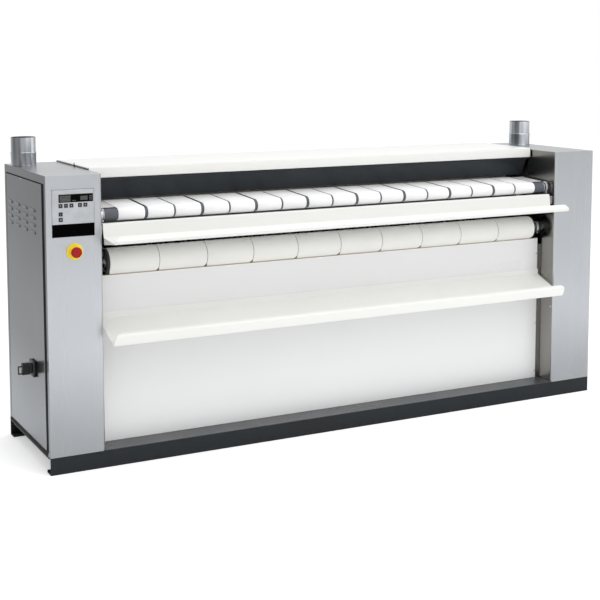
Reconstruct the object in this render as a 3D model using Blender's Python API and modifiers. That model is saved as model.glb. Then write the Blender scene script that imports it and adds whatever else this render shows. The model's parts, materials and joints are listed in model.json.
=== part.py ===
"""Chest ironer: a padded roll turns in a heated chest between two columns, with a feed conveyor above
the feed table, a return conveyor below it and a receiving tray in front.

Metres, +Z up, +X along the roll, +Y to the back. The origin is the middle of the front beam's underside.
Places across the machine are depths behind the columns' front plane."""

import math

import bmesh
import bpy
from mathutils import Matrix, Vector

# Overall sizes
LENGTH = 2.56
DEPTH = 0.58
HEIGHT = 1.123
COLUMN_WIDTH = 0.215
BASE_HEIGHT = 0.066
BEAM_FLANGE = 0.048

# Shared clearances
GAP = 0.0003
RUNNING = 0.0005
OVERRUN = 0.02
SHEET = 0.0015

# Places worked out from them
FRONT = -BEAM_FLANGE / 2
INNER = LENGTH / 2 - COLUMN_WIDTH
OUTER = LENGTH / 2
COLUMN_FOOT = BASE_HEIGHT + GAP

# The roll's axis, which the chest, both conveyors and the tables are set out from
ROLL_DROP = 0.183
ROLL_FROM_BACK = 0.185
ROLL_DEPTH = DEPTH - ROLL_FROM_BACK
ROLL_UP = HEIGHT - ROLL_DROP

# Base: two lipped channels, two flat side rails and a pan between the columns
BEAM_WALL = 0.005
BEAM_LIP = 0.011
RAIL_WIDTH = 0.04
RAIL_THICK = 0.008
RAIL_INSET = 0.004
PAN_THICK = 0.002
PAN_TOP = BASE_HEIGHT + GAP + PAN_THICK

# Columns and their side panels
CORNER_RADIUS = 0.012
CORNER_STEPS = 3
RECESS = 0.012
FRAME_FRONT = 0.020
FRAME_TOP = 0.030
FRAME_FOOT = 0.012
PANEL_REVEAL = 0.014
PANEL_REVEAL_TOP = 0.003
SERVICE_MARGIN = 0.03
LOUVRE_COUNT = 4
LOUVRE_LENGTH = 0.062
LOUVRE_HEIGHT = 0.013
LOUVRE_OUT = 0.004
LOUVRE_PITCH_DEPTH = 0.108
LOUVRE_PITCH_UP = 0.028
LOUVRE_FROM_BACK = 0.243
LOUVRE_DROP = 0.142
SLOT_HEIGHT = 0.003

# Padded roll and its drive
ROLL_RADIUS = 0.110
ROLL_END_SPACE = 0.050
ROLL_HALF = INNER - ROLL_END_SPACE
PADDING = 0.012
TUBE_WALL = 0.005
JOURNAL_RADIUS = 0.020
JOURNAL_FLANGE = 0.012
JOURNAL_REACH = 0.051
JOURNAL_END = INNER + JOURNAL_REACH
JOURNAL_BORE = 0.008
ROLL_SIDES = 32
BEARING_OUTER = 0.042
BEARING_THICK = 0.021
BEARING_FLANGE = 0.056
BEARING_FLANGE_THICK = 0.008
PULLEY_REACH = 0.037
PULLEY_PLANE = INNER + PULLEY_REACH
PULLEY_WIDTH = 0.020
PULLEY_LIP = 0.004
PULLEY_LIP_THICK = 0.0025
ROLL_PULLEY_RADIUS = 0.080
MOTOR_PULLEY_RADIUS = 0.035
BELT_THICK = 0.003
BELT_WIDTH = 0.013
BELT_STEPS = 20
TRANSFER_PULLEY_RADIUS = 0.045

# Heated chest
CHEST_WALL = 0.010
CHEST_END_SPACE = 0.015
CHEST_HALF = INNER - CHEST_END_SPACE
CHEST_FRONT_ANGLE = math.radians(5)
CHEST_REAR_ANGLE = math.radians(12)
JACKET_ANGLE = math.radians(7)
JACKET_GAP = 0.016
JACKET_WALL = 0.0015
JACKET_STEPS = 14
CHEST_STEPS = 20
HEATER_RADIUS = 0.006
HEATER_COUNT = 6
HEATER_SPREAD = math.radians(130)
HEATER_OFFSET = 0.0015
HEATER_END = 0.040
HEATER_TURN = 0.022
HEATER_TURN_STEPS = 6
END_PLATE_SHARE = 1.04

# Both conveyors' belts are joined on their lower run
BELT_WEB_WIDTH = 0.008

# Feed conveyor, its rear roller set out from the roll's axis
FEED_RADIUS = 0.0225
FEED_FRONT_DEPTH = 0.0655
FEED_FRONT_RISE = 0.0205
FEED_REAR_REACH = 0.160
FEED_REAR_RISE = 0.0295
FEED_FRONT_UP = ROLL_UP + FEED_FRONT_RISE
FEED_REAR_DEPTH = ROLL_DEPTH - FEED_REAR_REACH
FEED_REAR_UP = ROLL_UP + FEED_REAR_RISE
FEED_ROLLER_SPACE = 0.025
FEED_ROLLER_HALF = INNER - FEED_ROLLER_SPACE
FEED_BELT_THICK = 0.0012
FEED_BELT_COUNT = 17
FEED_BELT_MARGIN = 0.04975
FEED_BELT_SPACE = 0.0103
FEED_BELT_PITCH = 2 * (FEED_ROLLER_HALF - FEED_BELT_MARGIN) / FEED_BELT_COUNT
FEED_BELT_WIDTH = FEED_BELT_PITCH - FEED_BELT_SPACE
FEED_SIDES = 20
FEED_BELT_STEPS = 6
FEED_BELT_SLACK = 0.0009

# Return conveyor, its rear roller set out from the roll's axis
RETURN_RADIUS = 0.0495
RETURN_FRONT_DEPTH = 0.125
RETURN_FRONT_DROP = 0.1705
RETURN_REAR_REACH = 0.025
RETURN_REAR_DROP = 0.235
RETURN_FRONT_UP = ROLL_UP - RETURN_FRONT_DROP
RETURN_REAR_DEPTH = ROLL_DEPTH + RETURN_REAR_REACH
RETURN_REAR_UP = ROLL_UP - RETURN_REAR_DROP
RETURN_ROLLER_SPACE = 0.043
RETURN_ROLLER_HALF = INNER - RETURN_ROLLER_SPACE
RETURN_BELT_THICK = 0.0015
RETURN_BELT_COUNT = 10
RETURN_BELT_MARGIN = 0.0095
RETURN_BELT_SPACE = 0.002
RETURN_BELT_PITCH = 2 * (RETURN_ROLLER_HALF - RETURN_BELT_MARGIN) / RETURN_BELT_COUNT
RETURN_BELT_WIDTH = RETURN_BELT_PITCH - RETURN_BELT_SPACE
RETURN_RECESS = 0.012
RETURN_RECESS_RADIUS = 0.040
RETURN_HUB_RADIUS = 0.022
RETURN_SIDES = 24
RETURN_BELT_STEPS = 8
RETURN_BELT_SLACK = 0.0012

# Flange bearings of the four conveyor rollers
ROLLER_JOURNAL = 0.0125
FLANGE_BEARING_RADIUS = 0.030
FLANGE_BEARING_THICK = 0.006
FLANGE_HUB_RADIUS = 0.019
FLANGE_HUB_LENGTH = 0.014

# Feed table: a fascia below the feed roller, a shelf and an upturned lip. Each outline point is a depth
# and a height above the shelf's front edge. The table ends nearer the left column than the right one.
TABLE_LEFT_SPACE = 0.006
TABLE_RIGHT_SPACE = 0.0204
TABLE_WALL = 0.0015
TABLE_DROP = 0.0885
TABLE_UP = FEED_FRONT_UP - TABLE_DROP
TABLE_BACK = (0.034, 0.0605)
TABLE_TOP = (0.014, 0.0605)
TABLE_HEEL = (0.0055, 0.0090)
TABLE_NOSE = (-0.1215, 0)
TABLE_LIP = (-0.1240, 0.0110)
TABLE_HEM = (-0.1090, 0.0270)
TABLE_BEND = 0.003
TABLE_BRACKET_REACH = 0.030
TABLE_BRACKET_THICK = 0.004
TABLE_BRACKET_MARGIN = 0.008

# Front panel and receiving tray, whose outline points are depths and heights above the slope's foot
PANEL_DEPTH = 0.0995
PANEL_END_SPACE = 0.0145
PANEL_HALF = INNER - PANEL_END_SPACE
PANEL_DROP = 0.047
PANEL_TOP = RETURN_FRONT_UP - PANEL_DROP
PANEL_ANGLE_REACH = 0.030
PANEL_ANGLE_THICK = 0.003
PANEL_ANGLE_MARGIN = 0.030
TRAY_END_SPACE = 0.0107
TRAY_HALF = INNER - TRAY_END_SPACE
TRAY_WALL = 0.0015
TRAY_FLANGE = 0.022
TRAY_DROP = 0.2385
TRAY_UP = PANEL_TOP - TRAY_DROP
TRAY_ROOT_RISE = 0.0715
TRAY_VERTEX = (-0.0800, 0)
TRAY_LIP = (-0.0950, 0.0405)
TRAY_HEM = (-0.0850, 0.0480)
TRAY_BEND = 0.004
BEND_STEPS = 3

# Top cover, its rails, the back panel and the deflector that turns the linen forward
COVER_END_SPACE = 0.0025
COVER_HALF = INNER - COVER_END_SPACE
COVER_REACH = 0.221
COVER_FRONT_DEPTH = ROLL_DEPTH - COVER_REACH
COVER_RISE = 0.008
COVER_TOP = HEIGHT + COVER_RISE
COVER_LIP = 0.042
COVER_HEM = 0.012
COVER_REAR_LIP = 0.025
COVER_WALL = 0.0015
COVER_BEND = 0.004
RAIL_REACH = 0.022
COVER_RAIL_THICK = 0.004
RAIL_SETBACK = 0.026
RAIL_START = COVER_FRONT_DEPTH + RAIL_SETBACK
BACK_INSET = 0.004
BACK_DEPTH = DEPTH - BACK_INSET
DEFLECTOR_WALL = 0.0015
DEFLECTOR_RISE = 0.080
DEFLECTOR_TOP_UP = ROLL_UP + DEFLECTOR_RISE
DEFLECTOR_SPACE = 0.010
DEFLECTOR_BACK = BACK_DEPTH - DEFLECTOR_SPACE
DEFLECTOR_FOOT_REACH = 0.103
DEFLECTOR_FOOT_DROP = 0.268
DEFLECTOR_FOOT = (ROLL_DEPTH + DEFLECTOR_FOOT_REACH, ROLL_UP - DEFLECTOR_FOOT_DROP)
DEFLECTOR_KNEE_DROP = 0.160
DEFLECTOR_KNEE_UP = ROLL_UP - DEFLECTOR_KNEE_DROP
DEFLECTOR_BEND = 0.09
DEFLECTOR_STEPS = 8

# Finger guard above the feed belts
GUARD_END_SPACE = 0.010
GUARD_HALF = INNER - GUARD_END_SPACE
GUARD_WALL = 0.002
GUARD_SETBACK = 0.025
GUARD_DROP = 0.048
GUARD_PIVOT = (COVER_FRONT_DEPTH + GUARD_SETBACK, COVER_TOP - GUARD_DROP)
GUARD_EDGE_RISE = 0.0325
GUARD_EDGE = (FEED_REAR_DEPTH, FEED_REAR_UP + GUARD_EDGE_RISE)
GUARD_PIN_RADIUS = 0.004
GUARD_PIN_END = INNER + GUARD_END_SPACE
GUARD_BARREL = 0.007

# Exhaust fans and ducts
DUCT_INSET = 0.052
DUCT_X = OUTER - DUCT_INSET
DUCT_FROM_BACK = 0.100
DUCT_DEPTH = DEPTH - DUCT_FROM_BACK
DUCT_RADIUS = 0.0500
DUCT_SLEEVE_RADIUS = 0.0485
DUCT_WALL = 0.0015
DUCT_RISE = 0.1125
DUCT_TOP = HEIGHT + DUCT_RISE
DUCT_SEAM_RISE = 0.052
DUCT_SEAM_UP = HEIGHT + DUCT_SEAM_RISE
DUCT_BEAD = 0.0012
DUCT_BEAD_HALF = 0.002
DUCT_COLLAR = 0.0015
DUCT_FOOT_RADIUS = 0.025
DUCT_COLLAR_THICK = 0.002
DUCT_SIDES = 20
FAN_REACH = 0.080
FAN_DEPTH = DUCT_DEPTH - FAN_REACH
FAN_DROP = 0.050
FAN_UP = ROLL_UP - FAN_DROP
FAN_OUTLET_DROP = 0.0275
FAN_OUTLET_UP = HEIGHT - FAN_OUTLET_DROP
FAN_OUTLET_WIDTH = 0.080
FAN_HOUSING_WIDTH = 0.056
FAN_WALL = 0.002
FAN_SPIRAL_START = 0.074
FAN_STEPS = 14
FAN_INLET_RADIUS = 0.040
IMPELLER_RADIUS = 0.062
IMPELLER_HUB_RADIUS = 0.012
IMPELLER_DISC = 0.003
IMPELLER_BLADES = 9
IMPELLER_BLADE_THICK = 0.002
IMPELLER_BLADE_INNER = 0.034
IMPELLER_MARGIN = 0.005
FAN_SHAFT_RADIUS = 0.005
FAN_MOTOR_RADIUS = 0.038
FAN_MOTOR_LENGTH = 0.034

# Drive motor, on the left column's floor, and the feed conveyor's own motor
MOTOR_SHAFT_UP = 0.150
GEARBOX_WIDTH = 0.080
GEARBOX_LENGTH = 0.120
GEARBOX_TOP = 0.212
GEARBOX_REACH = 0.063
GEARBOX_FACE = INNER + GEARBOX_REACH
GEARBOX_CHAMFER = 0.010
MOTOR_RADIUS = 0.055
MOTOR_LENGTH = 0.190
MOTOR_FIN_COUNT = 5
MOTOR_FIN_HEIGHT = 0.006
MOTOR_FIN_SHARE = 0.5
MOTOR_SHAFT_RADIUS = 0.009
FEED_MOTOR_RADIUS = 0.032
FEED_MOTOR_LENGTH = 0.090

# Control panel in the left column's front. Keys and window are set out from its middle and its top.
PANEL_INSET = 0.1035
PANEL_X = -OUTER + PANEL_INSET
PANEL_WIDTH = 0.162
PANEL_HIGH_DROP = 0.0515
PANEL_HEIGHT = 0.129
STRIP_HEIGHT = 0.048
PANEL_HIGH = HEIGHT - PANEL_HIGH_DROP
PANEL_LOW = PANEL_HIGH - PANEL_HEIGHT
STRIP_LOW = PANEL_LOW - STRIP_HEIGHT
FASCIA_THICK = 0.004
FASCIA_PROUD = 0.0006
BACKING_THICK = 0.003
BACKING_GAP = 0.0035
BACKING_MARGIN = 0.010
KEY_SIZE = 0.0145
KEY_GAP = 0.0004
KEY_THICK = 0.0042
KEY_ROW_DROP = 0.0607
KEY_ROW_X = (-0.0476, -0.0270, -0.0064, 0.0262, 0.0468)
KEY_COLUMN_DROP = (0.0915, 0.1118)
DISPLAY_X = (-0.0549, 0.0765)
DISPLAY_DROP = (0.0490, 0.0185)
DISPLAY_THICK = 0.0028

# Emergency stop
STOP_DROP = 0.285
STOP_UP = HEIGHT - STOP_DROP
STOP_OFFSET = 0.003
STOP_X = PANEL_X + STOP_OFFSET
STOP_DISC_RADIUS = 0.031
STOP_DISC_THICK = 0.0025
STOP_STEM_RADIUS = 0.011
STOP_COLLAR_RADIUS = 0.0155
STOP_COLLAR_LENGTH = 0.009
STOP_HEAD_RADIUS = 0.020
STOP_HEAD_LENGTH = 0.014
STOP_HEAD_ROUND = 0.004
STOP_TRAVEL = 0.004
STOP_STEM_BACK = 0.018
STOP_SPIGOT_RADIUS = 0.006
STOP_SPIGOT_LENGTH = 0.006
STOP_SIDES = 20

# Main isolator on the left side panel
SWITCH_DEPTH = 0.205
SWITCH_UP = 0.366
SWITCH_PLATE = 0.062
SWITCH_PLATE_THICK = 0.010
SWITCH_KNOB_RADIUS = 0.021
SWITCH_KNOB_LENGTH = 0.011
SWITCH_SPINDLE_RADIUS = 0.008
SWITCH_SPINDLE_LENGTH = 0.0015
SWITCH_GRIP_LENGTH = 0.044
SWITCH_GRIP_THICK = 0.018
SWITCH_GRIP_OUT = 0.024
SWITCH_LOOP_WIDTH = 0.032
SWITCH_LOOP_DROP = 0.004
SWITCH_LOOP_OUT = 0.015
SWITCH_LOOP_WALL = 0.004
SWITCH_BEVEL = 0.003

parts = bpy.data.collections.new("chest_ironer")
cutters = bpy.data.collections.new("cutters")


def clear_scene():
    for old in list(bpy.data.objects):
        bpy.data.objects.remove(old, do_unlink=True)
    bpy.context.scene.collection.children.link(parts)
    bpy.context.scene.collection.children.link(cutters)
    cutters.hide_render = True


def material(name, colour, roughness, metallic):
    made = bpy.data.materials.new(name)
    made.use_nodes = True
    shader = made.node_tree.nodes["Principled BSDF"]
    shader.inputs["Base Color"].default_value = (*colour, 1.0)
    shader.inputs["Roughness"].default_value = roughness
    shader.inputs["Metallic"].default_value = metallic
    made.diffuse_color = (*colour, 1.0)
    return made


def add_object(name, mesh, finish, location=(0, 0, 0)):
    mesh.name = name
    made = bpy.data.objects.new(name, mesh)
    made.location = location
    if finish:
        mesh.materials.clear()
        mesh.materials.append(finish)
        parts.objects.link(made)
    else:
        made.hide_render = True
        made.display_type = "WIRE"
        cutters.objects.link(made)
    return made


def mesh_from(bm, name):
    bmesh.ops.recalc_face_normals(bm, faces=bm.faces[:])
    mesh = bpy.data.meshes.new(name)
    bm.to_mesh(mesh)
    bm.free()
    mesh.shade_smooth()
    mesh.set_sharp_from_angle(angle=math.radians(35))
    return mesh


def at(depth):
    """Y of a depth behind the columns' front plane."""
    return FRONT + depth


def box(name, low, high, finish=None):
    """A box between two corners, each (x, depth, z)."""
    size = [high[i] - low[i] for i in range(3)]
    middle = [(high[i] + low[i]) / 2 for i in range(3)]
    bm = bmesh.new()
    bmesh.ops.create_cube(bm, size=1, matrix=Matrix.Diagonal((*size, 1)))
    return add_object(name, mesh_from(bm, name), finish, (middle[0], at(middle[1]), middle[2]))


AXIS_TURN = {
    "X": Matrix.Rotation(math.pi / 2, 4, "Y"),
    "Y": Matrix.Rotation(-math.pi / 2, 4, "X"),
    "Z": Matrix.Identity(4),
}


def cylinder(name, radius, low, high, axis="X", sides=16, finish=None):
    """A cylinder along one axis, between the middles of its ends, each (x, depth, z)."""
    length = (Vector(high) - Vector(low)).length
    middle = (Vector(high) + Vector(low)) / 2
    bm = bmesh.new()
    ends = {"radius1": radius, "radius2": radius, "depth": length, "cap_ends": True}
    bmesh.ops.create_cone(bm, segments=sides, matrix=AXIS_TURN[axis], **ends)
    return add_object(name, mesh_from(bm, name), finish, (middle.x, at(middle.y), middle.z))


def turned(name, profile, place, axis="X", sides=20, finish=None, hollow=False):
    """A turned solid: the profile holds (radius, height) from the top down its outer side, and heights
    run along the axis from the place."""
    bm = bmesh.new()
    points = [bm.verts.new((radius, 0, height)) for radius, height in profile]
    for first, second in zip(points, points[1:]):
        bm.edges.new((first, second))
    if hollow:
        bm.edges.new((points[-1], points[0]))
    mesh = bpy.data.meshes.new(name)
    bm.to_mesh(mesh)
    bm.free()
    made = add_object(name, mesh, finish, (place[0], at(place[1]), place[2]))
    made.rotation_euler = AXIS_TURN[axis].to_euler()
    screw = made.modifiers.new("Turn", "SCREW")
    screw.axis = "Z"
    screw.steps = sides
    screw.render_steps = sides
    screw.use_merge_vertices = True
    screw.merge_threshold = 0.00001
    screw.use_smooth_shade = False
    return made


OUTLINE_TURN = {
    "X": Matrix.Rotation(math.pi / 2, 4, "Z") @ Matrix.Rotation(math.pi / 2, 4, "X"),
    "Y": Matrix.Rotation(math.pi / 2, 4, "X"),
    "Z": Matrix.Identity(4),
}


def extrusion(name, loops, low, high, axis="X", finish=None):
    """A filled outline with any holes, extruded along one axis. Points are (depth, z) for X, (x, z) for Y
    and (x, depth) for Z."""
    curve = bpy.data.curves.new(name, "CURVE")
    curve.dimensions = "2D"
    curve.fill_mode = "BOTH"
    curve.extrude = (high - low) / 2
    for loop in loops:
        spline = curve.splines.new("POLY")
        spline.points.add(len(loop) - 1)
        spline.use_cyclic_u = True
        for point, (a, b) in zip(spline.points, loop):
            shift = (at(0), 0) if axis == "X" else (0, at(0)) if axis == "Z" else (0, 0)
            point.co = (a + shift[0], b + shift[1], 0, 1)
    flat = bpy.data.objects.new(name, curve)
    cutters.objects.link(flat)
    middle = (high + low) / 2
    place = {"X": (middle, 0, 0), "Y": (0, at(middle), 0), "Z": (0, 0, middle)}[axis]
    turn = Matrix.Translation(place) @ OUTLINE_TURN[axis]
    graph = bpy.context.evaluated_depsgraph_get()
    mesh = bpy.data.meshes.new_from_object(flat.evaluated_get(graph))
    bpy.data.objects.remove(flat, do_unlink=True)
    bm = bmesh.new()
    bm.from_mesh(mesh)
    bpy.data.meshes.remove(mesh)
    bmesh.ops.transform(bm, matrix=turn, verts=bm.verts[:])
    bmesh.ops.remove_doubles(bm, verts=bm.verts[:], dist=0.00001)
    return add_object(name, mesh_from(bm, name), finish)


def sheet(name, path, low, high, thickness, finish, offset=-1):
    """A bent sheet: an open path of (depth, z) drawn out along X and thickened."""
    bm = bmesh.new()
    points = [bm.verts.new((low, at(depth), up)) for depth, up in path]
    edges = [bm.edges.new(pair) for pair in zip(points, points[1:])]
    drawn = bmesh.ops.extrude_edge_only(bm, edges=edges)["geom"]
    moved = [item for item in drawn if isinstance(item, bmesh.types.BMVert)]
    bmesh.ops.translate(bm, verts=moved, vec=(high - low, 0, 0))
    mesh = bpy.data.meshes.new(name)
    bm.to_mesh(mesh)
    bm.free()
    made = add_object(name, mesh, finish)
    wall = made.modifiers.new("Wall", "SOLIDIFY")
    wall.thickness = thickness
    wall.offset = offset
    wall.use_even_offset = True
    return made


def bent(path, radius, steps=BEND_STEPS):
    """The path with each inner corner replaced by an arc of the given radius."""
    smooth = [path[0]]
    for before, corner, after in zip(path, path[1:], path[2:]):
        here = Vector(corner)
        back = (Vector(before) - here).normalized()
        ahead = (Vector(after) - here).normalized()
        half = back.angle(ahead) / 2
        reach = radius / math.tan(half)
        centre = here + (back + ahead).normalized() * (radius / math.sin(half))
        start = here + back * reach - centre
        stop = here + ahead * reach - centre
        swing = start.angle_signed(stop)
        for step in range(steps + 1):
            arm = start.copy()
            arm.rotate(Matrix.Rotation(-swing * step / steps, 2))
            smooth.append(tuple(centre + arm))
    smooth.append(path[-1])
    return smooth


def arc(centre, radius, start, stop, steps):
    """Points on an arc, angles from the depth axis towards up."""
    return [
        (
            centre[0] + radius * math.cos(start + (stop - start) * i / steps),
            centre[1] + radius * math.sin(start + (stop - start) * i / steps),
        )
        for i in range(steps + 1)
    ]


def belt_loop(first, first_radius, second, second_radius, steps):
    """The outline of a belt round two pulleys, first and second each (depth, z)."""
    run = Vector(second) - Vector(first)
    heading = math.atan2(run.y, run.x)
    lean = math.acos((first_radius - second_radius) / run.length)
    around_first = arc(first, first_radius, heading + lean, heading + 2 * math.pi - lean, steps)
    around_second = arc(second, second_radius, heading - lean, heading + lean, steps)
    return around_first + around_second


def change(piece, cutter, operation="DIFFERENCE"):
    step = piece.modifiers.new(operation.title(), "BOOLEAN")
    step.operation = operation
    step.solver = "EXACT"
    step.object = cutter


def bevel(piece, width, segments=2, angle=math.radians(40)):
    step = piece.modifiers.new("Edge", "BEVEL")
    step.width = width
    step.segments = segments
    step.limit_method = "ANGLE"
    step.angle_limit = angle


def joined(name, pieces, finish=None, origin=(0, 0, 0)):
    """One object of several separate solids, its origin at (x, y, z)."""
    graph = bpy.context.evaluated_depsgraph_get()
    bm = bmesh.new()
    for piece in pieces:
        mesh = bpy.data.meshes.new_from_object(piece.evaluated_get(graph))
        mesh.transform(piece.matrix_world)
        bm.from_mesh(mesh)
        bpy.data.meshes.remove(mesh)
    for piece in pieces:
        bpy.data.objects.remove(piece, do_unlink=True)
    bmesh.ops.translate(bm, verts=bm.verts[:], vec=-Vector(origin))
    mesh = bpy.data.meshes.new(name)
    bm.to_mesh(mesh)
    bm.free()
    mesh.shade_smooth()
    mesh.set_sharp_from_angle(angle=math.radians(35))
    return add_object(name, mesh, finish, origin)


def hang(piece, place):
    """Moves a piece's origin to (x, depth, z), its shape staying where it is."""
    origin = Vector((place[0], at(place[1]), place[2]))
    piece.data.transform(Matrix.Translation(piece.location - origin))
    piece.location = origin


def row(piece, count, pitch):
    """Repeats a piece along X, centred on the machine's middle, where the piece is the first of the row."""
    step = piece.modifiers.new("Row", "ARRAY")
    step.count = count
    step.use_relative_offset = False
    step.use_constant_offset = True
    step.constant_offset_displace = (pitch, 0, 0)
    step.merge_threshold = 0.00001


def side_name(side):
    return "left" if side < 0 else "right"


def span(side, near, far):
    """The lower and upper X of two distances from the middle, on one side."""
    return tuple(sorted((side * near, side * far)))


STAINLESS = material("brushed_stainless", (0.55, 0.56, 0.58), 0.32, 1.0)
GALVANISED = material("galvanised_steel", (0.52, 0.54, 0.56), 0.38, 1.0)
WHITE = material("white_enamel", (0.86, 0.86, 0.84), 0.30, 0.0)
BASE_GREY = material("dark_base_paint", (0.035, 0.042, 0.048), 0.45, 0.0)
GUARD_GREY = material("dark_guard_paint", (0.028, 0.034, 0.040), 0.40, 0.0)
RUBBER = material("grey_roller_rubber", (0.10, 0.105, 0.12), 0.65, 0.0)
CLOTH = material("belt_cloth", (0.84, 0.84, 0.82), 0.85, 0.0)
FELT = material("roll_padding", (0.78, 0.74, 0.66), 0.95, 0.0)
STEEL = material("machined_steel", (0.60, 0.60, 0.60), 0.28, 1.0)
CHEST_STEEL = material("polished_chest", (0.62, 0.62, 0.63), 0.18, 1.0)
CAST = material("cast_iron", (0.12, 0.12, 0.13), 0.55, 0.6)
MOTOR_PAINT = material("motor_paint", (0.16, 0.20, 0.24), 0.45, 0.2)
BLACK = material("black_plastic", (0.012, 0.012, 0.013), 0.40, 0.0)
GLASS = material("display_window", (0.03, 0.035, 0.035), 0.10, 0.0)
FASCIA = material("panel_fascia", (0.58, 0.60, 0.62), 0.35, 0.2)
YELLOW = material("stop_yellow", (0.85, 0.62, 0.02), 0.35, 0.0)
RED = material("stop_red", (0.62, 0.03, 0.03), 0.35, 0.0)
BELT_RUBBER = material("drive_belt_rubber", (0.02, 0.02, 0.02), 0.70, 0.0)


def base_beam(mirrored, finish=None):
    """A lipped channel, its flanges turned into the machine."""
    outline = [
        (0, 0),
        (BEAM_FLANGE, 0),
        (BEAM_FLANGE, BEAM_LIP),
        (BEAM_FLANGE - BEAM_WALL, BEAM_LIP),
        (BEAM_FLANGE - BEAM_WALL, BEAM_WALL),
        (BEAM_WALL, BEAM_WALL),
        (BEAM_WALL, BASE_HEIGHT - BEAM_WALL),
        (BEAM_FLANGE, BASE_HEIGHT - BEAM_WALL),
        (BEAM_FLANGE, BASE_HEIGHT),
        (0, BASE_HEIGHT),
    ]
    if mirrored:
        outline = [(DEPTH - depth, up) for depth, up in outline]
    return extrusion("base_frame" if finish else "rear_beam", [outline], -OUTER, OUTER, finish=finish)


def base():
    """The welded frame: two beams and the flat rails between them under the columns, and its pan."""
    frame = base_beam(False, BASE_GREY)
    change(frame, base_beam(True), "UNION")
    for side in (-1, 1):
        low, high = span(side, OUTER - RAIL_WIDTH, OUTER - RAIL_INSET)
        rail = box(
            f"rail_{side_name(side)}",
            (low, BEAM_FLANGE - BEAM_LIP, BASE_HEIGHT - BEAM_WALL - RAIL_THICK),
            (high, DEPTH - BEAM_FLANGE + BEAM_LIP, BASE_HEIGHT - BEAM_WALL / 2),
        )
        change(frame, rail, "UNION")
    box(
        "base_pan",
        (-INNER + GAP, 0, BASE_HEIGHT + GAP),
        (INNER - GAP, BACK_DEPTH - GAP, PAN_TOP),
        BASE_GREY,
    )


def plan(side, inset, outer_inset):
    """A column's plan outline, its inner front corner rounded, drawn in by a wall."""
    near, far = side * (INNER + inset), side * (OUTER - outer_inset)
    radius = CORNER_RADIUS - inset
    corner = [
        (near + side * radius * (1 - math.cos(angle)), inset + radius * (1 - math.sin(angle)))
        for angle in [math.pi / 2 * step / CORNER_STEPS for step in range(CORNER_STEPS + 1)]
    ]
    return corner + [(far, inset), (far, DEPTH - inset), (near, DEPTH - inset)]


def shaft_places():
    """Every shaft that passes a column's inner wall: depth, height and radius."""
    return [
        (ROLL_DEPTH, ROLL_UP, JOURNAL_RADIUS),
        (FEED_FRONT_DEPTH, FEED_FRONT_UP, ROLLER_JOURNAL),
        (FEED_REAR_DEPTH, FEED_REAR_UP, ROLLER_JOURNAL),
        (RETURN_FRONT_DEPTH, RETURN_FRONT_UP, ROLLER_JOURNAL),
        (RETURN_REAR_DEPTH, RETURN_REAR_UP, ROLLER_JOURNAL),
        (*GUARD_PIVOT, GUARD_PIN_RADIUS),
    ]


def pocket(side, grown):
    """The recess that takes the side panel, grown by a wall where it shapes the room behind it."""
    low, high = span(side, OUTER - RECESS - grown, OUTER + OVERRUN)
    return box(
        f"pocket_{side_name(side)}_{bool(grown)}",
        (low, FRAME_FRONT - grown, COLUMN_FOOT + FRAME_FOOT - grown),
        (high, DEPTH - FRAME_FRONT + grown, HEIGHT - FRAME_TOP + grown),
    )


def table_end(side):
    """How far the feed table reaches from the machine's middle."""
    return INNER - (TABLE_LEFT_SPACE if side < 0 else TABLE_RIGHT_SPACE)


def cleats(side):
    """What is welded to a column's inner wall: a rail under the cover, an angle behind the front panel and
    a bracket behind the feed table's fascia."""
    wall = INNER + SHEET / 2
    rail_top = COVER_TOP - COVER_WALL - GAP
    low, high = span(side, INNER - RAIL_REACH, wall)
    rail_low = min(rail_top, HEIGHT) - COVER_RAIL_THICK
    made = [box(f"cover_rail_{side}", (low, RAIL_START, rail_low), (high, BACK_DEPTH - GAP, rail_top))]
    behind = PANEL_DEPTH + SHEET + GAP
    low, high = span(side, PANEL_HALF - PANEL_ANGLE_REACH, wall)
    made.append(
        box(
            f"panel_angle_{side}",
            (low, behind, PAN_TOP + GAP),
            (high, behind + PANEL_ANGLE_THICK, PANEL_TOP - PANEL_ANGLE_MARGIN),
        )
    )
    lean = (TABLE_TOP[0] - TABLE_HEEL[0]) / (TABLE_TOP[1] - TABLE_HEEL[1])
    behind = TABLE_TOP[0] - lean * TABLE_BRACKET_MARGIN + TABLE_WALL * math.hypot(1, lean) + GAP
    low, high = span(side, table_end(side) - TABLE_BRACKET_REACH, wall)
    made.append(
        box(
            f"table_bracket_{side}",
            (low, behind, TABLE_UP + TABLE_HEEL[1] + TABLE_BRACKET_MARGIN),
            (high, behind + TABLE_BRACKET_THICK, TABLE_UP + TABLE_TOP[1] - TABLE_BRACKET_MARGIN),
        )
    )
    return made


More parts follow.
